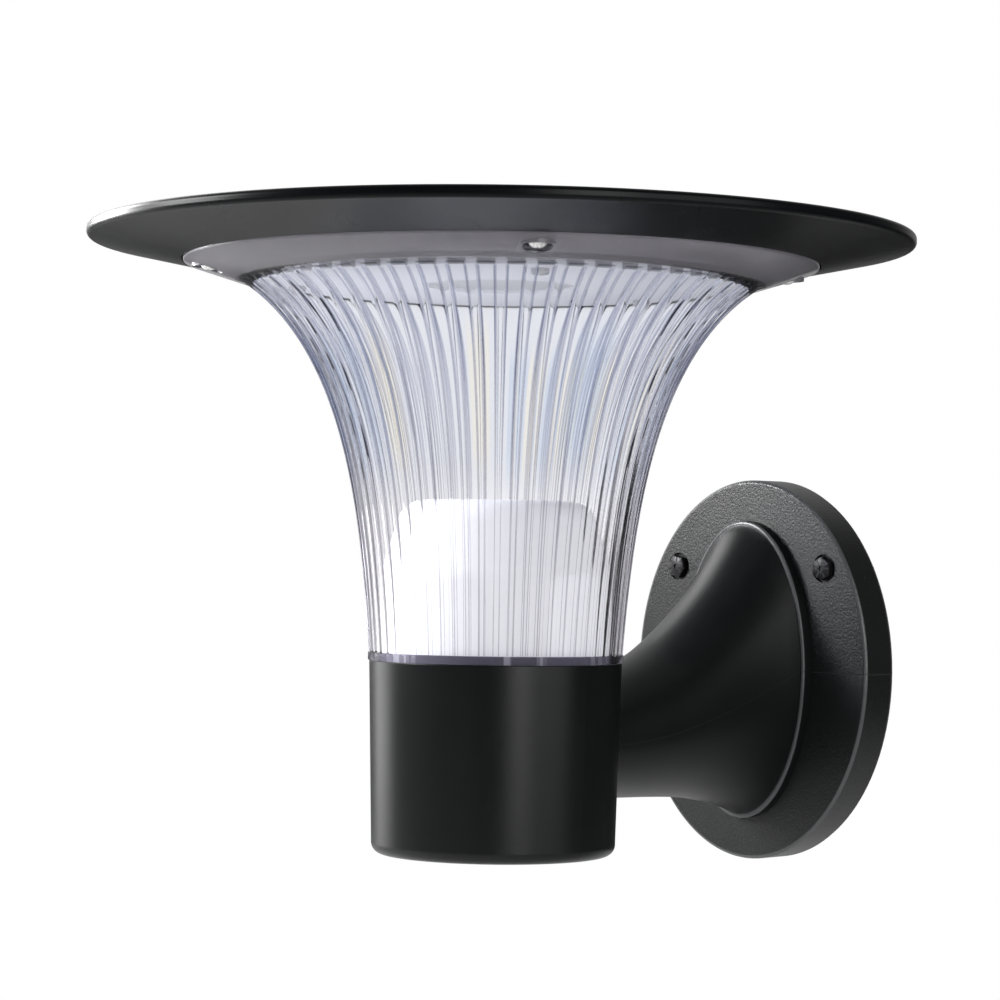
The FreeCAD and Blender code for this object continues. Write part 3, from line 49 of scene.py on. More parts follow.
class Tone:
    """A number or a colour on its way through the shader nodes."""

    def __init__(self, finish, socket):
        self.finish, self.socket = finish, socket

    def join(self, operation, *inputs):
        """A step of arithmetic by its name in the shader editor."""
        return self.finish.node("ShaderNodeMath", {"operation": operation}, *inputs)

    def __add__(self, other): return self.join("ADD", self, other)
    def __radd__(self, other): return self.join("ADD", other, self)
    def __sub__(self, other): return self.join("SUBTRACT", self, other)
    def __rsub__(self, other): return self.join("SUBTRACT", other, self)
    def __mul__(self, other): return self.join("MULTIPLY", self, other)
    def __rmul__(self, other): return self.join("MULTIPLY", other, self)
    def __truediv__(self, other): return self.join("DIVIDE", self, other)
    def __rtruediv__(self, other): return self.join("DIVIDE", other, self)
    def __pow__(self, other): return self.join("POWER", self, other)
    def __mod__(self, other): return self.join("FLOORED_MODULO", self, other)
    def __abs__(self): return self.join("ABSOLUTE", self)
    def __gt__(self, other): return self.join("GREATER_THAN", self, other)
    def __lt__(self, other): return self.join("LESS_THAN", self, other)

    def over(self, low, high):
        """0 below low, 1 above high, and a smooth rise between them."""
        return self.finish.node(
            "ShaderNodeMapRange", {"interpolation_type": "SMOOTHSTEP"}, self, low, high, 0.0, 1.0,
        )

    def chance(self):
        """A chance value from 0 to 1, the same all the way to the next whole number."""
        return self.finish.node("ShaderNodeTexWhiteNoise", {"noise_dimensions": "1D"},
                                W=self.join("FLOOR", self))


class Finish:
    """A material under way. Each call of node adds a shader node and returns its first result."""

    def __init__(self, name):
        self.material = bpy.data.materials.new(name)
        self.material.use_nodes = True
        self.tree = self.material.node_tree
        self.tree.nodes.clear()

    def node(self, kind, settings=None, *inputs, **named):
        node = self.tree.nodes.new(kind)
        for key, value in (settings or {}).items():
            setattr(node, key, value)
        for key, value in list(enumerate(inputs)) + list(named.items()):
            socket = node.inputs[key if isinstance(key, int) else key.replace("_", " ")]
            if isinstance(value, Tone):
                self.tree.links.new(value.socket, socket)
            elif value is not None:
                if socket.type == "RGBA" and len(value) == 3:
                    value = (*value, 1.0)
                socket.default_value = value
        return Tone(self, node.outputs[0])

    def output_of(self, tone, name):
        return Tone(self, tone.socket.node.outputs[name])

    def place(self, scale=(1.0, 1.0, 1.0), shift=(0.0, 0.0, 0.0)):
        """Object coordinates, scaled and then shifted."""
        found = self.output_of(self.node("ShaderNodeTexCoord"), "Object")
        return self.node("ShaderNodeMapping", None, found, shift, None, scale)

    def axes(self, at):
        """The three coordinates of a place, each as a number."""
        split = self.node("ShaderNodeSeparateXYZ", None, at)
        return [self.output_of(split, name) for name in "XYZ"]

    def noise(self, at, size, detail=2.0, roughness=0.5):
        """Cloudy noise whose patches are about size across."""
        return self.node("ShaderNodeTexNoise", None, Vector=at, Scale=1.0 / size, Detail=detail,
                         Roughness=roughness)

    def blend(self, share, first, second):
        """A colour between two colours."""
        mix = self.node("ShaderNodeMix", {"data_type": "RGBA"})
        node = mix.socket.node
        for key, value in ((0, share), (6, first), (7, second)):
            if isinstance(value, Tone):
                self.tree.links.new(value.socket, node.inputs[key])
            else:
                node.inputs[key].default_value = (*value, 1.0) if key else value
        return Tone(self, node.outputs[2])

    def bump(self, height, strength, distance):
        return self.node("ShaderNodeBump", None, Strength=strength, Distance=distance,
                         Height=height)

    def surface(self, **sockets):
        return self.show(self.node("ShaderNodeBsdfPrincipled", None, **sockets))

    def show(self, shader):
        out = self.tree.nodes.new("ShaderNodeOutputMaterial")
        self.tree.links.new(shader.socket, out.inputs["Surface"])
        return self.material


def wear(material, *nodes):
    """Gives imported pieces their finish."""
    for node in nodes:
        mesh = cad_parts[node].data
        mesh.materials.clear()
        mesh.materials.append(material)


def satin_black(name, colour, rough, level, grain_size, grain, parting=None, edge=None):
    """Moulded black plastic: mottling, fine grain, and where given a parting line and edges that
    are smoother and carry a painted highlight.
    """
    f = Finish(name)
    at = f.place()
    mottle = f.noise(at, 16 * MM, 3.0)
    fine = f.noise(at, grain_size, 3.0, 0.65)
    tone = f.blend(mottle, [c * 0.86 for c in colour], [c * 1.16 for c in colour])
    height = fine
    dullness = rough + (mottle - 0.5) * 0.05 + (fine - 0.5) * 0.08
    if edge:                           # edges are smoother, and painted paler as a highlight
        smooth_highlit_edge = edge(f.axes(at))
        dullness = dullness - smooth_highlit_edge * 0.20
        # painted highlight: the edge's colour is made paler
        tone = f.blend(smooth_highlit_edge, tone, (0.075, 0.078, 0.08))
    if parting:
        line = 1.0 - abs(parting(f.axes(at))).over(0.08 * MM, 0.26 * MM)
        tone = f.blend(line * 0.5, tone, [c * 2.5 for c in colour])
        height = fine + line * 1.6
    return f.surface(
        Base_Color=tone, Roughness=dullness, Specular_IOR_Level=level,
        Normal=f.bump(height, grain, 0.12 * MM),
    )


wear(satin_black("hat_black_plastic", (0.0034, 0.0040, 0.0048), 0.29, 0.15, 0.5 * MM, 0.05),
     "hat_shell")

# Solar panel. A round disc of dark silicon strips with printed silver lines, potted under a clear
# polycarbonate cover. The cover sits on a rubber ring in the seat on top of the hat.

STRIP_WIDTH = 15.6 * MM
STRIP_GAP = 0.8 * MM
FINGER_PITCH = 1.9 * MM
FINGER_WIDTH = 0.10 * MM
BAR_WIDTH = 0.9 * MM
CELL_EDGE = 66.0 * MM

f = Finish("silicon_strips")
at = f.place()
across, along, level = f.axes(at)
out = (across ** 2.0 + (along - LAMP_Y) ** 2.0) ** 0.5
strip = abs((across + STRIP_WIDTH / 2) % STRIP_WIDTH - STRIP_WIDTH / 2)
gap = strip > (STRIP_WIDTH - STRIP_GAP) / 2
finger = abs(along % FINGER_PITCH - FINGER_PITCH / 2) < FINGER_WIDTH / 2
bar = abs(strip - STRIP_WIDTH / 4) < BAR_WIDTH / 2
crystal = f.node("ShaderNodeTexVoronoi", None, Vector=at, Scale=1.0 / (7 * MM))
shine = f.axes(f.output_of(crystal, "Color"))[0]
grain = f.noise(at, 3 * MM, 2.0)
blue = f.blend(shine, (0.004, 0.008, 0.028), (0.010, 0.018, 0.055))
lines = f.blend(finger.join("MAXIMUM", finger, bar), blue, (0.30, 0.32, 0.35))
cells = f.blend(gap.join("MAXIMUM", gap, out > CELL_EDGE), lines, (0.010, 0.010, 0.013))
wear(f.surface(
    Base_Color=cells, Roughness=0.34 + (grain - 0.5) * 0.12, Specular_IOR_Level=0.5,
), "solar_cells")


def clear_plastic(name, tint, rough, ior):
    """Clear moulded plastic. Lamps pass it, so what is behind it is lit."""
    f = Finish(name)
    at = f.place()
    cloud = f.noise(at, 22 * MM, 3.0)
    ripples = f.noise(at, 6 * MM, 2.0)
    clear = f.node("ShaderNodeBsdfPrincipled", None, Base_Color=tint, IOR=ior,
                   Roughness=rough + (cloud - 0.5) * rough * 0.6, Transmission_Weight=1.0,
                   Normal=f.bump(ripples, 0.05, 0.1 * MM))
    passing = f.node("ShaderNodeBsdfTransparent", None, tint)
    seen = f.node("ShaderNodeLightPath")
    return f.show(f.node(
        "ShaderNodeMixShader", None, f.output_of(seen, "Is Shadow Ray"), clear, passing,
    ))


wear(clear_plastic("clear_cover_plastic", (0.96, 0.98, 0.99), 0.05, 1.5), "panel_cover")


def rubber(name, colour, rough=0.72):
    """Soft black rubber with a powdery skin."""
    f = Finish(name)
    at = f.place()
    dust = f.noise(at, 2.2 * MM, 4.0, 0.6)
    skin = f.noise(at, 0.35 * MM, 2.0)
    return f.surface(
        Base_Color=f.blend(dust, [c * 0.8 for c in colour], [c * 1.3 for c in colour]),
        Roughness=rough + (dust - 0.5) * 0.16, Specular_IOR_Level=0.3,
        Normal=f.bump(skin, 0.2, 0.08 * MM),
    )


wear(rubber("seal_rubber", (0.022, 0.022, 0.023)), "panel_seal")

# Electronics under the panel. Green control board with its parts, and two cells in a black cradle
# with plated springs and tabs. Small pan head screws hold them to posts inside the hat.


def bright_metal(name, colour, rough):
    """Drawn or plated metal with fine lines and a slight stain."""
    f = Finish(name)
    at = f.place()
    stain = f.noise(at, 4 * MM, 3.0)
    lines = f.noise(f.place(scale=(1.0, 1.0, 12.0)), 0.5 * MM, 2.0, 0.7)
    return f.surface(
        Base_Color=f.blend(stain, [c * 0.88 for c in colour], colour), Metallic=1.0,
        Roughness=rough + (lines - 0.5) * 0.18 + (stain - 0.5) * 0.1,
        Normal=f.bump(lines, 0.06, 0.05 * MM),
    )


def circuit_board(name, colour, copper):
    """Glass fibre board: solder resist over copper tracks that show as paler lines."""
    f = Finish(name)
    at = f.place()
    wander = f.noise(at, 9 * MM, 1.0) * 0.02
    track = abs((f.axes(at)[0] + wander) % (3.2 * MM) - 1.6 * MM) < 0.45 * MM
    patch = f.noise(at, 7 * MM, 0.0) > 0.5
    weave = f.noise(f.place(scale=(1.0, 3.0, 1.0)), 0.8 * MM, 2.0)
    return f.surface(
        Base_Color=f.blend(track * patch, colour, copper),
        Roughness=0.34 + (weave - 0.5) * 0.14, Normal=f.bump(weave, 0.1, 0.05 * MM),
    )


def plain_black(name, colour, rough):
    """Moulded black casing with a matt grain."""
    f = Finish(name)
    grain = f.noise(f.place(), 0.6 * MM, 3.0)
    return f.surface(
        Base_Color=f.blend(grain, [c * 0.75 for c in colour], [c * 1.25 for c in colour]),
        Roughness=rough + (grain - 0.5) * 0.2, Normal=f.bump(grain, 0.15, 0.08 * MM),
    )


wear(circuit_board("green_board", (0.010, 0.085, 0.030), (0.025, 0.17, 0.06)),
     "control_board", "switch_board")
wear(plain_black("part_black", (0.022, 0.022, 0.024), 0.45),
     "board_parts", "battery_holder", "switch_body")
wear(bright_metal("screw_steel", (0.62, 0.62, 0.62), 0.26),
     "board_screws", "plate_screws", "lens_screws", "arm_bolts", "root_screws")
wear(bright_metal("contact_nickel", (0.66, 0.62, 0.52), 0.22), "battery_contacts")

f = Finish("cell_sleeve")
wrinkle = f.noise(f.place(scale=(1.0, 0.15, 1.0)), 1.6 * MM, 3.0)
wear(f.surface(
    Base_Color=f.blend(wrinkle, (0.018, 0.075, 0.24), (0.035, 0.13, 0.36)),
    Roughness=0.3 + (wrinkle - 0.5) * 0.15, Normal=f.bump(wrinkle, 0.12, 0.1 * MM),
), "battery_cells")


def lead_skin(name, colour):
    """Silicone rubber of a thin lead, slightly dull where it was handled."""
    f = Finish(name)
    dull = f.noise(f.place(), 3 * MM, 3.0)
    return f.surface(
        Base_Color=f.blend(dull, [c * 0.75 for c in colour], colour),
        Roughness=0.42 + (dull - 0.5) * 0.2, Normal=f.bump(dull, 0.05, 0.1 * MM),
    )


red_lead = lead_skin("lead_red", (0.52, 0.018, 0.014))
black_lead = lead_skin("lead_black", (0.014, 0.014, 0.015))
for route in ("panel", "light", "cell", "switch"):
    wear(red_lead, route + "_lead_red")
    wear(black_lead, route + "_lead_black")

# Light source. Warm white chips on a round white board behind a frosted window in the middle of
# the white dished plate, which closes the hat from below and is held by three screws.


def white_plastic(name, colour, rough):
    """Opaque white moulding with a faintly uneven sheen."""
    f = Finish(name)
    at = f.place()
    cloud = f.noise(at, 18 * MM, 3.0)
    skin = f.noise(at, 0.7 * MM, 2.0)
    return f.surface(
        Base_Color=f.blend(cloud, [c * 0.965 for c in colour], colour),
        Roughness=rough + (cloud - 0.5) * 0.12, Normal=f.bump(skin, 0.08, 0.08 * MM),
    )


wear(white_plastic("plate_white", (0.90, 0.90, 0.92), 0.42), "reflector_plate")
wear(white_plastic("board_white", (0.84, 0.84, 0.80), 0.38), "led_board")

f = Finish("frosted_window_plastic")
frost = f.noise(f.place(), 0.5 * MM, 2.0)
wear(f.surface(
    Base_Color=f.blend(frost, (0.86, 0.87, 0.88), (0.93, 0.93, 0.93)),
    Roughness=0.55 + (frost - 0.5) * 0.2, Transmission_Weight=0.35,
    Normal=f.bump(frost, 0.2, 0.1 * MM),
), "led_window")

f = Finish("chip_phosphor")
speck = f.noise(f.place(), 0.3 * MM, 2.0)
wear(f.surface(
    Base_Color=f.blend(speck, (0.72, 0.52, 0.12), (0.86, 0.70, 0.24)),
    Roughness=0.5 + (speck - 0.5) * 0.2,
), "led_chips")

# Power button. A rubber cap in a round well under the hat, on a coil spring above it. A push of
# less than a millimetre closes the switch behind.

wear(rubber("button_rubber", (0.030, 0.030, 0.032), 0.62), "power_button")
wear(bright_metal("spring_steel", (0.50, 0.50, 0.52), 0.24), "button_spring")

# Ribbed lens. One clear polycarbonate moulding: a trumpet with fifty-six raised ribs outside and
# a smooth wall inside, a wide flange above whose upper face is left misty by the tool, and a plain
# band with a spigot below. Four screws in pockets of the flange hold it up against the hat.

RIBS = 56
COLUMNS = [0.0, 0.10, 0.15, 0.165, 0.18, 0.195, 0.215, 0.33, 0.5]   # of half a rib, in pitches
CREST, FLANK_END = 0.15, 0.215    # half the rib's flat top, and the foot of its side, in pitches
CREST_DROP = 0.12 * MM            # from the middle of the top to its edge
RIB_LIFT_LOW, RIB_LIFT_HIGH = 0.5 * MM, 1.3 * MM
LENS_WALL = 3.2 * MM
RIB_LOW, RIB_HIGH = 7.1 * MM, 122.6 * MM
FLARE = [(40.0, 7.1), (43.47, 56.86), (51.0, 102.59), (81.0, 122.6)]
FLANGE = [
    (81.6, 122.79), (84.0, 123.55), (99.6, 128.5), (100.0, 128.9), (100.0, 130.7), (99.7, 131.0),
    (95.5, 131.0), (85.5, 126.0), (77.8, 126.0),
]
FOOT = [
    (36.8, 4.0), (34.5, 4.0), (34.5, -4.9), (28.9, -4.9), (28.9, -7.1), (36.9, -7.1),
    (36.9, -2.1), (35.6, -2.1), (35.6, -0.5), (36.9, -0.5), (36.9, 4.5), (40.0, 4.5),
    (40.2, 4.7), (40.2, 6.9), (40.0, 7.1),
]


def flare(points, inset=0.0):
    """The trumpet's outline as points from bottom to top."""
    ends = [Vector((r * MM - inset, 0, z * MM)) for r, z in FLARE]
    return interpolate_bezier(ends[0], ends[1], ends[2], ends[3], points)


def spots(outline):
    return [Vector((r * MM, 0, z * MM)) for r, z in outline]


def turned(outline, sectors, steps):
    """A closed outline turned round the Z axis: one sector is turned and then repeated."""
    b = bmesh.new()
    verts = [b.verts.new(p) for p in outline]
    for first, second in zip(verts, verts[1:] + verts[:1]):
        b.edges.new((first, second))
    bmesh.ops.spin(b, geom=b.verts[:] + b.edges[:], cent=(0, 0, 0), axis=(0, 0, 1),
                   angle=math.tau / sectors, steps=steps)
    sector = b.verts[:] + b.edges[:] + b.faces[:]
    for i in range(1, sectors):
        copy = bmesh.ops.duplicate(b, geom=sector)["geom"]
        bmesh.ops.rotate(b, verts=[g for g in copy if isinstance(g, bmesh.types.BMVert)],
                         cent=(0, 0, 0), matrix=Matrix.Rotation(math.tau * i / sectors, 3, "Z"))
    bmesh.ops.remove_doubles(b, verts=b.verts, dist=0.002 * MM)
    bmesh.ops.recalc_face_normals(b, faces=b.faces)
    return b


def shade(b, corner=35.0):
    """Smooth faces, with sharp edges where they meet at more than this angle."""
    for face in b.faces:
        face.smooth = True
    for edge in b.edges:
        if len(edge.link_faces) == 2 and edge.calc_face_angle() > math.radians(corner):
            edge.smooth = False


def finished(name, b, material, body="lamp"):
    """Turns a bmesh into a piece that rides on a body."""
    mesh = bpy.data.meshes.new(name)
    b.to_mesh(mesh)
    b.free()
    mesh.materials.append(material)
    piece = bpy.data.objects.new(name, mesh)
    bpy.context.scene.collection.objects.link(piece)
    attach(piece, body)
    return piece


outside = flare(40)
steps = 2 * (len(COLUMNS) - 1)
b = turned(outside + spots(FLANGE) + flare(18, LENS_WALL)[::-1] + spots(FOOT)[:-1], RIBS, steps)

pitch = math.tau / RIBS
crest_at = {round(v.z / MM, 3): v.x for v in outside}
for v in b.verts:
    reach, turn = math.hypot(v.co.x, v.co.y), math.atan2(v.co.y, v.co.x)
    u = (turn / pitch + 0.5) % 1.0 - 0.5
    bent = COLUMNS[round(abs(u) * steps)]
    turn += (math.copysign(bent, u) - u) * pitch
    if abs(reach - crest_at.get(round(v.co.z / MM, 3), 0.0)) < 0.01 * MM:
        rise = (v.co.z - RIB_LOW) / (RIB_HIGH - RIB_LOW)
        lift = RIB_LIFT_LOW + (RIB_LIFT_HIGH - RIB_LIFT_LOW) * rise
        down = min(max((bent - CREST) / (FLANK_END - CREST), 0.0), 1.0)
        reach -= CREST_DROP * min(bent / CREST, 1.0) ** 2
        reach -= (lift - CREST_DROP) * down * down * (3 - 2 * down)
    v.co.x, v.co.y = reach * math.cos(turn), reach * math.sin(turn)

bmesh.ops.translate(b, verts=b.verts, vec=(0, LAMP_Y, 0))

PAD_RADIUS, PAD_ROOT, FLANGE_TOP = 5.6 * MM, 126.6 * MM, 131.0 * MM
POCKET_RADIUS, POCKET_ROOF = 4.2 * MM, 128.2 * MM
SCREW_HOLE = 1.7 * MM
CLEAR_BELOW, CLEAR_ABOVE = 120.0 * MM, 140.0 * MM     # levels well off the flange
SCREW_RING, FIRST_SCREW = 91.7 * MM, math.radians(-38.57)
screw_spots = [
    (SCREW_RING * math.cos(a), LAMP_Y + SCREW_RING * math.sin(a))
    for a in (FIRST_SCREW + math.pi / 2 * i for i in range(4))
]


def drums(radius, low, high, around=40):
    """Upright closed drums of one radius between two levels, one at each screw."""
    b = bmesh.new()
    for x, y in screw_spots:
        bmesh.ops.create_cone(
            b, cap_ends=True, segments=around, radius1=radius, radius2=radius, depth=high - low,
            matrix=Matrix.Translation((x, y, (high + low) / 2)),
        )
    return b


def carved(b, cutter, operation):
    """One bmesh joined with or cut by another; both are used up."""
    holders = []
    for part in (b, cutter):
        mesh = bpy.data.meshes.new("carving")
        part.to_mesh(mesh)
        part.free()
        holders.append(bpy.data.objects.new("carving", mesh))
        bpy.context.scene.collection.objects.link(holders[-1])
    change = holders[0].modifiers.new("carving", "BOOLEAN")
    change.operation, change.solver, change.object = operation, "EXACT", holders[1]
    result = bmesh.new()
    result.from_object(holders[0], bpy.context.evaluated_depsgraph_get())
    for holder in holders:
        bpy.data.meshes.remove(holder.data)
    return result


b = carved(b, drums(PAD_RADIUS, PAD_ROOT, FLANGE_TOP), "UNION")
b = carved(b, drums(POCKET_RADIUS, CLEAR_BELOW, POCKET_ROOF), "DIFFERENCE")
b = carved(b, drums(SCREW_HOLE, CLEAR_BELOW, CLEAR_ABOVE, around=24), "DIFFERENCE")
shade(b, 50.0)

f = Finish("lens_polycarbonate")
across, along, level = f.axes(f.place(shift=(0, -LAMP_Y, 0)))
out = (across ** 2.0 + along ** 2.0) ** 0.5
bearing = along.join("ARCTAN2", along, across)
ribs_on = bearing / pitch + 0.5
u = abs(ribs_on % 1.0 - 0.5)
cloud = f.noise(f.place(shift=(0, -LAMP_Y, 0)), 22 * MM, 3.0)

# The body of the wall, painted greyer above as shade, with painted yellow or blue gleams on single
# ribs.
tone = f.blend(level.over(45 * MM, 70 * MM) * (0.7 + cloud * 0.5),
               (0.96, 0.955, 0.97), (0.875, 0.885, 0.92))
painted_gleam = level.over(55 * MM, 75 * MM) * (1.0 - level.over(96 * MM, 112 * MM)) * 0.8
tone = f.blend((ribs_on.chance() > 0.82) * painted_gleam, tone, (0.97, 0.93, 0.83))
tone = f.blend((ribs_on.chance() < 0.12) * painted_gleam, tone, (0.70, 0.77, 0.88))

# The ribs' sides, painted dark as shade because light runs along them, and painted shadow in the
# slots at their tops.
high = level.over(40 * MM, 110 * MM)
ribbed = level.over(RIB_LOW, RIB_LOW + 0.3 * MM) * (1.0 - level.over(RIB_HIGH - 1 * MM, RIB_HIGH))
# painted shade along the ribs' sides
flank = u.over(CREST - 0.01, CREST + 0.015) \
    * (1.0 - (u - high * 0.05).over(FLANK_END - 0.02, FLANK_END + 0.01))
tone = f.blend(ribbed * flank * 0.85, tone,
               f.blend(high, (0.30, 0.29, 0.34), (0.36, 0.38, 0.50)))
# painted shadow where the ribs end under the flange
slot_shadow = level.over(RIB_HIGH - 0.3 * MM, RIB_HIGH - 0.2 * MM) * (out < 81.2 * MM) \
    * u.over(FLANK_END - 0.06, FLANK_END)
tone = f.blend(slot_shadow * 0.75, tone, (0.08, 0.08, 0.10))

# The plain band, painted dark as shade on the clear plastic, with a few paler ticks as painted
# highlights.
band = f.blend((bearing * 18.0).chance() > 0.8, (0.13, 0.12, 0.16), (0.42, 0.41, 0.46))
tone = f.blend((level < RIB_LOW) * 0.95, tone, band)
clear = f.node("ShaderNodeBsdfPrincipled", None, Base_Color=tone, IOR=1.14,
               Specular_IOR_Level=0.15, Transmission_Weight=1.0,
               Roughness=0.10 - level.over(20 * MM, 75 * MM) * 0.05 + (cloud - 0.5) * 0.03)

# The flange, misty and painted grey for the dark hat that shows through it, and painted darker
# inside the pockets as shade.
swing = (bearing - FIRST_SCREW + math.pi / 4) % (math.pi / 2) - math.pi / 4
from_screw = ((out - SCREW_RING) ** 2.0 + (out * swing) ** 2.0) ** 0.5
mist_shade_tone = f.blend(cloud, (0.21, 0.205, 0.235), (0.30, 0.285, 0.31))
# painted shade inside the screw pockets
mist_shade_tone = f.blend(1.0 - from_screw.over(POCKET_RADIUS + 0.1 * MM, POCKET_RADIUS + 0.5 * MM),
                    mist_shade_tone, (0.075, 0.073, 0.088))
mist = f.node("ShaderNodeBsdfPrincipled", None, IOR=1.49, Roughness=0.30, Base_Color=mist_shade_tone)
misty = out.over(82.0 * MM, 84.0 * MM) * 0.62
moulding = f.node("ShaderNodeMixShader", None, misty, clear, mist)
passing = f.node("ShaderNodeBsdfTransparent", None, (0.93, 0.935, 0.97))
seen = f.node("ShaderNodeLightPath")
f.show(f.node(
    "ShaderNodeMixShader", None, f.output_of(seen, "Is Shadow Ray"), moulding, passing,
))
lens = finished("clear_ribbed_lens", b, f.material)
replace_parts(lens, "lens")

wear(rubber("lens_seal_rubber", (0.020, 0.020, 0.021)), "lens_seal", "base_seal")

# Flange screws. Four steel screws, plated white, with a pan head and a cross recess. They go up
# through the flange into the hat, with their heads in the flange's pockets.

CROSS_LENGTH, CROSS_WIDTH, CROSS_LEVEL, CROSS_HEIGHT = 2.8 * MM, 0.55 * MM, -2.6 * MM, 2.0 * MM
PAN_HEAD = [
    (0.0, -2.7), (0.9, -2.65), (1.7, -2.4), (2.35, -1.9), (2.7, -1.3), (2.8, -0.7), (2.8, 0.0),
    (1.5, 0.0), (1.5, 9.4), (0.9, 10.0), (0.0, 10.0),
]


def spun(outline, steps):
    """An outline from axis to axis turned into a closed solid round Z."""
    b = bmesh.new()
    verts = [b.verts.new(p) for p in spots(outline)]
    edges = [b.edges.new(pair) for pair in zip(verts, verts[1:])]
    bmesh.ops.spin(b, geom=verts + edges, cent=(0, 0, 0), axis=(0, 0, 1), angle=math.tau,
                   steps=steps, use_merge=True)
    bmesh.ops.remove_doubles(b, verts=b.verts, dist=0.002 * MM)
    bmesh.ops.recalc_face_normals(b, faces=b.faces)
    return b


def repeated(b, moves):
    """One bmesh with a copy of another at each move."""
    mesh = bpy.data.meshes.new("repeated")
    b.to_mesh(mesh)
    b.free()
    result = bmesh.new()
    for move in moves:
        before = len(result.verts)
        result.from_mesh(mesh)
        result.verts.ensure_lookup_table()
        bmesh.ops.transform(result, matrix=move, verts=result.verts[before:])
    bpy.data.meshes.remove(mesh)
    return result


f = Finish("white_zinc")
plating = f.noise(f.place(), 0.8 * MM, 3.0)
zinc = f.surface(
    Base_Color=f.blend(plating, (0.82, 0.82, 0.80), (0.95, 0.95, 0.93)), Metallic=0.4,
    Roughness=0.28 + (plating - 0.5) * 0.2, Normal=f.bump(plating, 0.08, 0.1 * MM),
)
b = spun(PAN_HEAD, 24)
for wide, deep in ((CROSS_LENGTH, CROSS_WIDTH), (CROSS_WIDTH, CROSS_LENGTH)):
    bar = bmesh.new()
    bmesh.ops.create_cube(bar, size=1.0, matrix=Matrix.Translation((0, 0, CROSS_LEVEL))
                          @ Matrix.Diagonal((wide, deep, CROSS_HEIGHT, 1.0)))
    b = carved(b, bar, "DIFFERENCE")
b = repeated(b, [Matrix.Translation((x, y, POCKET_ROOF)) @ Matrix.Rotation(0.6 + i, 4, "Z")
                 for i, (x, y) in enumerate(screw_spots)])
shade(b)
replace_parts(finished("cross_head_screws", b, zinc), "flange_screws")

# White body in the lower half of the lens. A matt white cap that hides the cup's inside and
# scatters the light through the ribs.

wear(white_plastic("dome_white", (0.83, 0.83, 0.84), 0.50), "reflector_dome")

# Base cup. A plain black cup with a slight taper and a rounded foot. The lens spigot drops into
# it, and two bolts from inside it hold the arm.

wear(satin_black("cup_black_plastic", (0.0040, 0.0046, 0.0048), 0.30, 0.32, 0.45 * MM, 0.20),
     "base_cup")

# Arm. A hollow curved moulding that swells from the cup to an oval root with a stepped lip. Four
# screws from behind the wall plate hold the root.

ARM_STATIONS = [        # share of the length, then of the rise, of the drop and of the widening
    (0.0, 0.0, 0.0, 0.0), (0.21, 0.088, 0.05, 0.12), (0.43, 0.220, 0.11, 0.25),
    (0.605, 0.390, 0.21, 0.36), (0.73, 0.540, 0.37, 0.48), (0.85, 0.715, 0.58, 0.66),
    (1.0, 1.0, 1.0, 1.0),
]
ARM_START, ARM_ROOT, ARM_BACK = -100.0, -19.0, -15.0
ARM_END = (-3.1, -40.5, 20.5)          # top, underside and half width at the cup
ROOT = (51.0, -51.0, 27.6)             # and at the root
SHOULDER = 1.4                         # how far the lip stands out from the arm
LIP = [                                # along and out from the arm's root
    (0.0, 0.06), (0.02, 0.75), (0.15, 1.05), (0.40, 1.28), (0.80, SHOULDER),
    (ARM_BACK - ARM_ROOT, SHOULDER),
]
CUP_TOP, CUP_HEIGHT, CUP_RADIUS, CUP_TAPER = 4.5, 60.5, 39.8, 1.5
AROUND, ALONG, FIRST_SHARE = 120, 48, 0.028


def eased(share, column):
    """The stations' column at a share of the length, on a smooth curve through them."""
    rows = [(row[0], row[column]) for row in ARM_STATIONS]
    slopes = [(b[1] - a[1]) / (b[0] - a[0]) for a, b in zip(rows, rows[1:])]
    bends = [slopes[0] * 0.8] + [(a + b) / 2 for a, b in zip(slopes, slopes[1:])] \
        + [slopes[-1] * 1.25]
    i = max(k for k in range(len(rows) - 1) if rows[k][0] <= share)
    (x0, y0), (x1, y1) = rows[i], rows[i + 1]
    h = x1 - x0
    s = (share - x0) / h
    return ((2 * s ** 3 - 3 * s ** 2 + 1) * y0 + (s ** 3 - 2 * s ** 2 + s) * h * bends[i]
            + (3 * s ** 2 - 2 * s ** 3) * y1 + (s ** 3 - s ** 2) * h * bends[i + 1])


def arm_point(share, around, inset=0.0):
    """A point of the arm's skin, in millimetres: x and z only."""
    top, bottom, half = (a + (b - a) * eased(share, k + 1)
                         for k, (a, b) in enumerate(zip(ARM_END, ROOT)))
    inset = inset + SHOULDER * share ** 3
    return ((half - inset) * math.cos(around),
            (top + bottom) / 2 + ((top - bottom) / 2 - inset) * math.sin(around))


turns = [math.tau * i / AROUND for i in range(AROUND)]
rings = [[]]
for a in turns:                        # the first ring lies just off the cup's tapered side
    x, z = arm_point(0.0, a)
    cup_side = CUP_RADIUS - CUP_TAPER * (CUP_TOP - z) / CUP_HEIGHT + 0.1
    rings[0].append((x, LAMP_Y / MM + math.sqrt(cup_side ** 2 - x ** 2), z))
for i in range(1, ALONG + 1):
    share = FIRST_SHARE + (1.0 - FIRST_SHARE) * i / ALONG
    y = ARM_START + (ARM_ROOT - ARM_START) * share
    rings.append([(x, y, z) for x, z in (arm_point(share, a) for a in turns)])
for along, out in LIP:
    rings.append([(x, ARM_ROOT + along, z) for x, z in (arm_point(1.0, a, -out) for a in turns)])
b = bmesh.new()
loops = [[b.verts.new([c * MM for c in point]) for point in ring] for ring in rings]
for first, second in zip(loops, loops[1:]):
    for i in range(AROUND):
        k = (i + 1) % AROUND
        b.faces.new((first[i], first[k], second[k], second[i]))
b.faces.new(loops[0])
b.faces.new(loops[-1])
bmesh.ops.recalc_face_normals(b, faces=b.faces)
shade(b, 40.0)


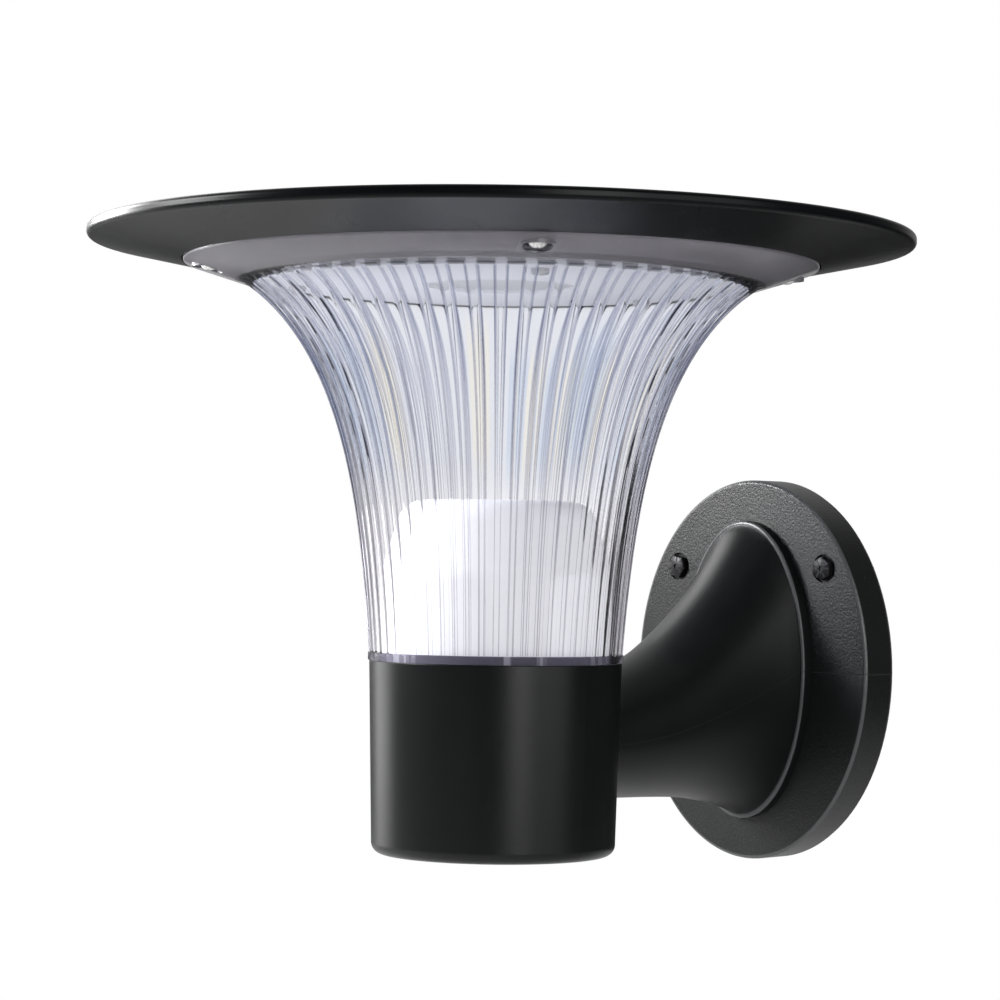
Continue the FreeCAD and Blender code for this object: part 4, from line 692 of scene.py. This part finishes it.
def arm_parting(axes):
    """Height above the line that the two halves of the arm's tool leave along its sides."""
    across, along, level = axes
    share = (along - ARM_START * MM) / ((ARM_ROOT - ARM_START) * MM)
    share = share.join("MAXIMUM", share, 0.0)
    return level - (ARM_END[0] + ARM_END[1]) / 2 * MM * (1.0 - share ** 1.7)


def lip_edge(axes):
    """1 on the lip's shoulder, where the arm gets smoother and a painted highlight."""
    across, along, level = axes
    reach = ((across / (ROOT[2] * MM)) ** 2.0 + (level / (ROOT[0] * MM)) ** 2.0) ** 0.5
    return reach.over(0.955, 0.975) * (along > (ARM_ROOT - 0.4) * MM) \
        * (along < (ARM_ROOT + 0.7) * MM)


arm = finished("swept_arm", b, satin_black(
    "arm_black_plastic", (0.0038, 0.0044, 0.0046), 0.36, 0.30, 0.5 * MM, 0.20,
    arm_parting, lip_edge,
))
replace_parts(arm, "arm")

# Wall plate. A thick oval moulding with a rounded front edge and a coarser grain. A thin foam pad
# seals it to the wall.

PLATE_HALF_WIDTH, PLATE_HALF_HEIGHT, PLATE_FRONT = 51.0 * MM, 65.0 * MM, -15.0 * MM


def plate_parting(axes):
    """Height above the line where the two halves of the plate's tool meet."""
    return axes[2]


def plate_edge(axes):
    """1 on the round of the plate's front edge, where the plate gets smoother and a painted
    highlight.
    """
    across, along, level = axes
    reach = ((across / PLATE_HALF_WIDTH) ** 2.0 + (level / PLATE_HALF_HEIGHT) ** 2.0) ** 0.5
    return reach.over(0.978, 0.988) * (along < PLATE_FRONT + 1.0 * MM)


wear(satin_black("plate_black_plastic", (0.0060, 0.0066, 0.0068), 0.36, 0.48, 0.8 * MM, 1.0,
                 plate_parting, plate_edge), "back_plate")

f = Finish("pad_foam")
cells = f.node("ShaderNodeTexVoronoi", None, Vector=f.place(), Scale=1.0 / (0.8 * MM))
wear(f.surface(
    Base_Color=f.blend(cells, (0.035, 0.035, 0.036), (0.075, 0.075, 0.077)), Roughness=0.9,
    Normal=f.bump(cells, 0.4, 0.2 * MM),
), "wall_pad")

# Wall screws. Two black hexagonal heads on rubber washers, in round recesses of the plate. Their
# threaded ends stand out behind the plate, for plugs in the wall.

HEX_FLAT, CHAMFER_LEVEL = 3.5, -2.5           # half across flats, and where the chamfer starts
SCREW_SPOTS = [(-32.5, 0.2), (32.5, 0.55)]    # where, and how far each head happens to be turned
HEAD_BACK, SCREW_LEVEL = -14.0, 35.0
HEX_SCREW = [
    (0.0, -2.4), (0.75, -2.4), (0.8, -2.8), (3.3, -2.8), (HEX_FLAT, CHAMFER_LEVEL),
    (HEX_FLAT, 0.0), (2.4, 0.0),
    (2.4, 14.0),
]
THREADS = 9
for i in range(THREADS):
    HEX_SCREW += [(1.65, 14.25 + i), (1.65, 14.5 + i), (2.0, 14.75 + i), (2.0, 14.9 + i)]
HEX_SCREW += [(1.7, 23.9), (1.2, 25.0), (0.0, 25.0)]

b = spun(HEX_SCREW, 24)
for v in b.verts:
    on_hexagon = (CHAMFER_LEVEL - 0.01) * MM < v.co.z < 0.01 * MM
    if on_hexagon and v.co.xy.length > (HEX_FLAT - 0.1) * MM:
        side = (math.degrees(math.atan2(v.co.y, v.co.x)) + 360.0) % 60.0 - 30.0
        v.co.xy *= HEX_FLAT * MM / math.cos(math.radians(side)) / v.co.xy.length
upright = Matrix.Rotation(-math.pi / 2, 4, "X")
b = repeated(b, [
    Matrix.Translation((x * MM, HEAD_BACK * MM, SCREW_LEVEL * MM)) @ upright
    @ Matrix.Rotation(turn, 4, "Z") for x, turn in SCREW_SPOTS
])
shade(b)
f = Finish("black_screw_steel")
oxide = f.noise(f.place(), 2 * MM, 3.0)
black_steel = f.surface(
    Base_Color=f.blend(oxide, (0.010, 0.010, 0.011), (0.022, 0.022, 0.024)), Metallic=0.6,
    Roughness=0.38 + (oxide - 0.5) * 0.2, Normal=f.bump(oxide, 0.1, 0.1 * MM),
)
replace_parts(finished("hexagon_wall_screws", b, black_steel), "wall_screws")
wear(rubber("washer_rubber", (0.020, 0.020, 0.021)), "screw_washers")

# Studio. A white floor and backdrop, soft lamps beside and behind the lantern, and the camera
# where the photograph was taken. Black skins mirror the dim side of the room.

FLOOR_LEVEL = -190 * MM
CAMERA_TURN = 45.0                     # degrees round from the front
CAMERA_LEVEL, CAMERA_AWAY = 36.6 * MM, 0.945

sheet = bpy.data.meshes.new("floor")
b = bmesh.new()
bmesh.ops.create_grid(b, x_segments=1, y_segments=1, size=6.0)
bmesh.ops.translate(b, verts=b.verts, vec=(0, 0, FLOOR_LEVEL))
b.to_mesh(sheet)
b.free()
floor = bpy.data.objects.new("floor", sheet)
bpy.context.scene.collection.objects.link(floor)
f = Finish("pale_floor")
seen = f.node("ShaderNodeLightPath")
direct = seen.join("MAXIMUM", f.output_of(seen, "Is Camera Ray"),
                   f.output_of(seen, "Is Transmission Ray"))
turn = math.radians(CAMERA_TURN)
towards_camera = Vector((math.sin(turn), -math.cos(turn), 0.0))
right = Vector((math.cos(turn), math.sin(turn), 0.0))
across, along, level = f.axes(f.place(shift=(0, -LAMP_Y, 0)))
out = (across ** 2.0 + along ** 2.0) ** 0.5
side = (across * right.x + along * right.y) / out
# painted shadow: beyond about 0.85 m from the lantern the floor is painted dark, except well to
# the left, so the black skins mirror a darker room
painted_floor_shadow = out.over(0.50, 0.85) * side.over(-0.38, -0.16)
pale = f.node("ShaderNodeBsdfDiffuse", None,
              Color=f.blend(painted_floor_shadow, (0.80, 0.80, 0.80), (0.08, 0.08, 0.08)))
bright = f.node("ShaderNodeEmission", None, Color=(1, 1, 1), Strength=1.0)
sheet.materials.append(f.show(f.node(
    "ShaderNodeMixShader", None, direct * (out.over(0.15, 0.6) * 0.35 + 0.65), pale, bright,
)))


class Backdrop(Finish):
    """The world's nodes, worked like a material's."""

    def __init__(self, name):
        world = bpy.data.worlds.new(name)
        world.use_nodes = True
        bpy.context.scene.world = world
        self.tree = world.node_tree
        self.tree.nodes.clear()


f = Backdrop("studio")
seen = f.node("ShaderNodeLightPath")
way = f.output_of(f.node("ShaderNodeTexCoord"), "Generated")
facing = f.output_of(f.node(
    "ShaderNodeVectorMath", {"operation": "DOT_PRODUCT"}, way, tuple(towards_camera),
), "Value")
room = facing.over(-0.25, 0.45)                    # 0 at the backdrop, 1 in the room before it
camera_ray = f.output_of(seen, "Is Camera Ray")
clear_ray = f.output_of(seen, "Is Transmission Ray")
glossy_ray = f.output_of(seen, "Is Glossy Ray")
fill = 0.26 - room * 0.10
sideways = f.output_of(f.node(
    "ShaderNodeVectorMath", {"operation": "DOT_PRODUCT"}, way, tuple(right),
), "Value")
dimmed = sideways.over(0.25, 0.75) * 0.85 + (0.0 - sideways).over(0.3, 0.8) * 0.4
mirrored = (0.55 - room * 0.53) * (1.0 - dimmed)
through = 1.0 - room * 0.35
strength = fill + glossy_ray * (mirrored - fill)
strength = strength + clear_ray * (through - strength)
strength = strength + camera_ray * (1.0 - strength)
back = f.node("ShaderNodeBackground", None, (1, 1, 1, 1), strength)
out = f.tree.nodes.new("ShaderNodeOutputWorld")
f.tree.links.new(back.socket, out.inputs[0])

LANTERN = Vector((0.0, LAMP_Y, 0.04))
PLATE_TOP = Vector((0.0, 0.0, 0.085))


def softbox(name, aim, azimuth, elevation, distance, width, height, power):
    """A soft lamp that faces a place. Azimuth 0 is in front of it, 90 at its right."""
    a, e = math.radians(azimuth), math.radians(elevation)
    back = Vector((math.sin(a) * math.cos(e), -math.cos(a) * math.cos(e), math.sin(e)))
    data = bpy.data.lights.new(name, "AREA")
    data.shape, data.size, data.size_y, data.energy = "RECTANGLE", width, height, power
    lamp = bpy.data.objects.new(name, data)
    bpy.context.scene.collection.objects.link(lamp)
    lamp.location = aim + back * distance
    lamp.rotation_euler = back.to_track_quat("Z", "Y").to_euler()
    lamp.visible_camera = lamp.visible_transmission = False


softbox("rear_left_box", LANTERN, CAMERA_TURN - 124, 8, 1.2, 0.62, 1.1, 7.0)
softbox("high_left_box", LANTERN, CAMERA_TURN - 84, 22, 0.62, 0.25, 0.25, 3.6)
softbox("plate_box", PLATE_TOP, CAMERA_TURN - 84, 14, 0.34, 0.10, 0.10, 0.85)
softbox("back_box", LANTERN, CAMERA_TURN - 148, 33, 1.2, 0.5, 0.5, 2.5)
softbox("front_strip", LANTERN, CAMERA_TURN + 23, 6, 1.5, 0.5, 1.3, 9.0)
softbox("right_fill", LANTERN, CAMERA_TURN + 52, 8, 1.5, 0.9, 1.2, 5.5)

shot = bpy.data.cameras.new("photograph")
camera = bpy.data.objects.new("photograph", shot)
bpy.context.scene.collection.objects.link(camera)
bpy.context.scene.camera = camera
shot.lens, shot.sensor_width = 107.9, 36.0
rise, roll = math.radians(1.13), math.radians(0.82)
camera.location = Vector((0, LAMP_Y, CAMERA_LEVEL)) + towards_camera * CAMERA_AWAY
look = -towards_camera * math.cos(rise) + Vector((0, 0, math.sin(rise))) + right * 0.0007
camera.rotation_mode = "QUATERNION"
camera.rotation_quaternion = (
    look.to_track_quat("-Z", "Y") @ Matrix.Rotation(roll, 3, "Z").to_quaternion()
)
shot.clip_start, shot.clip_end = 0.05, 60.0

bpy.context.scene.view_settings.view_transform = "Standard"
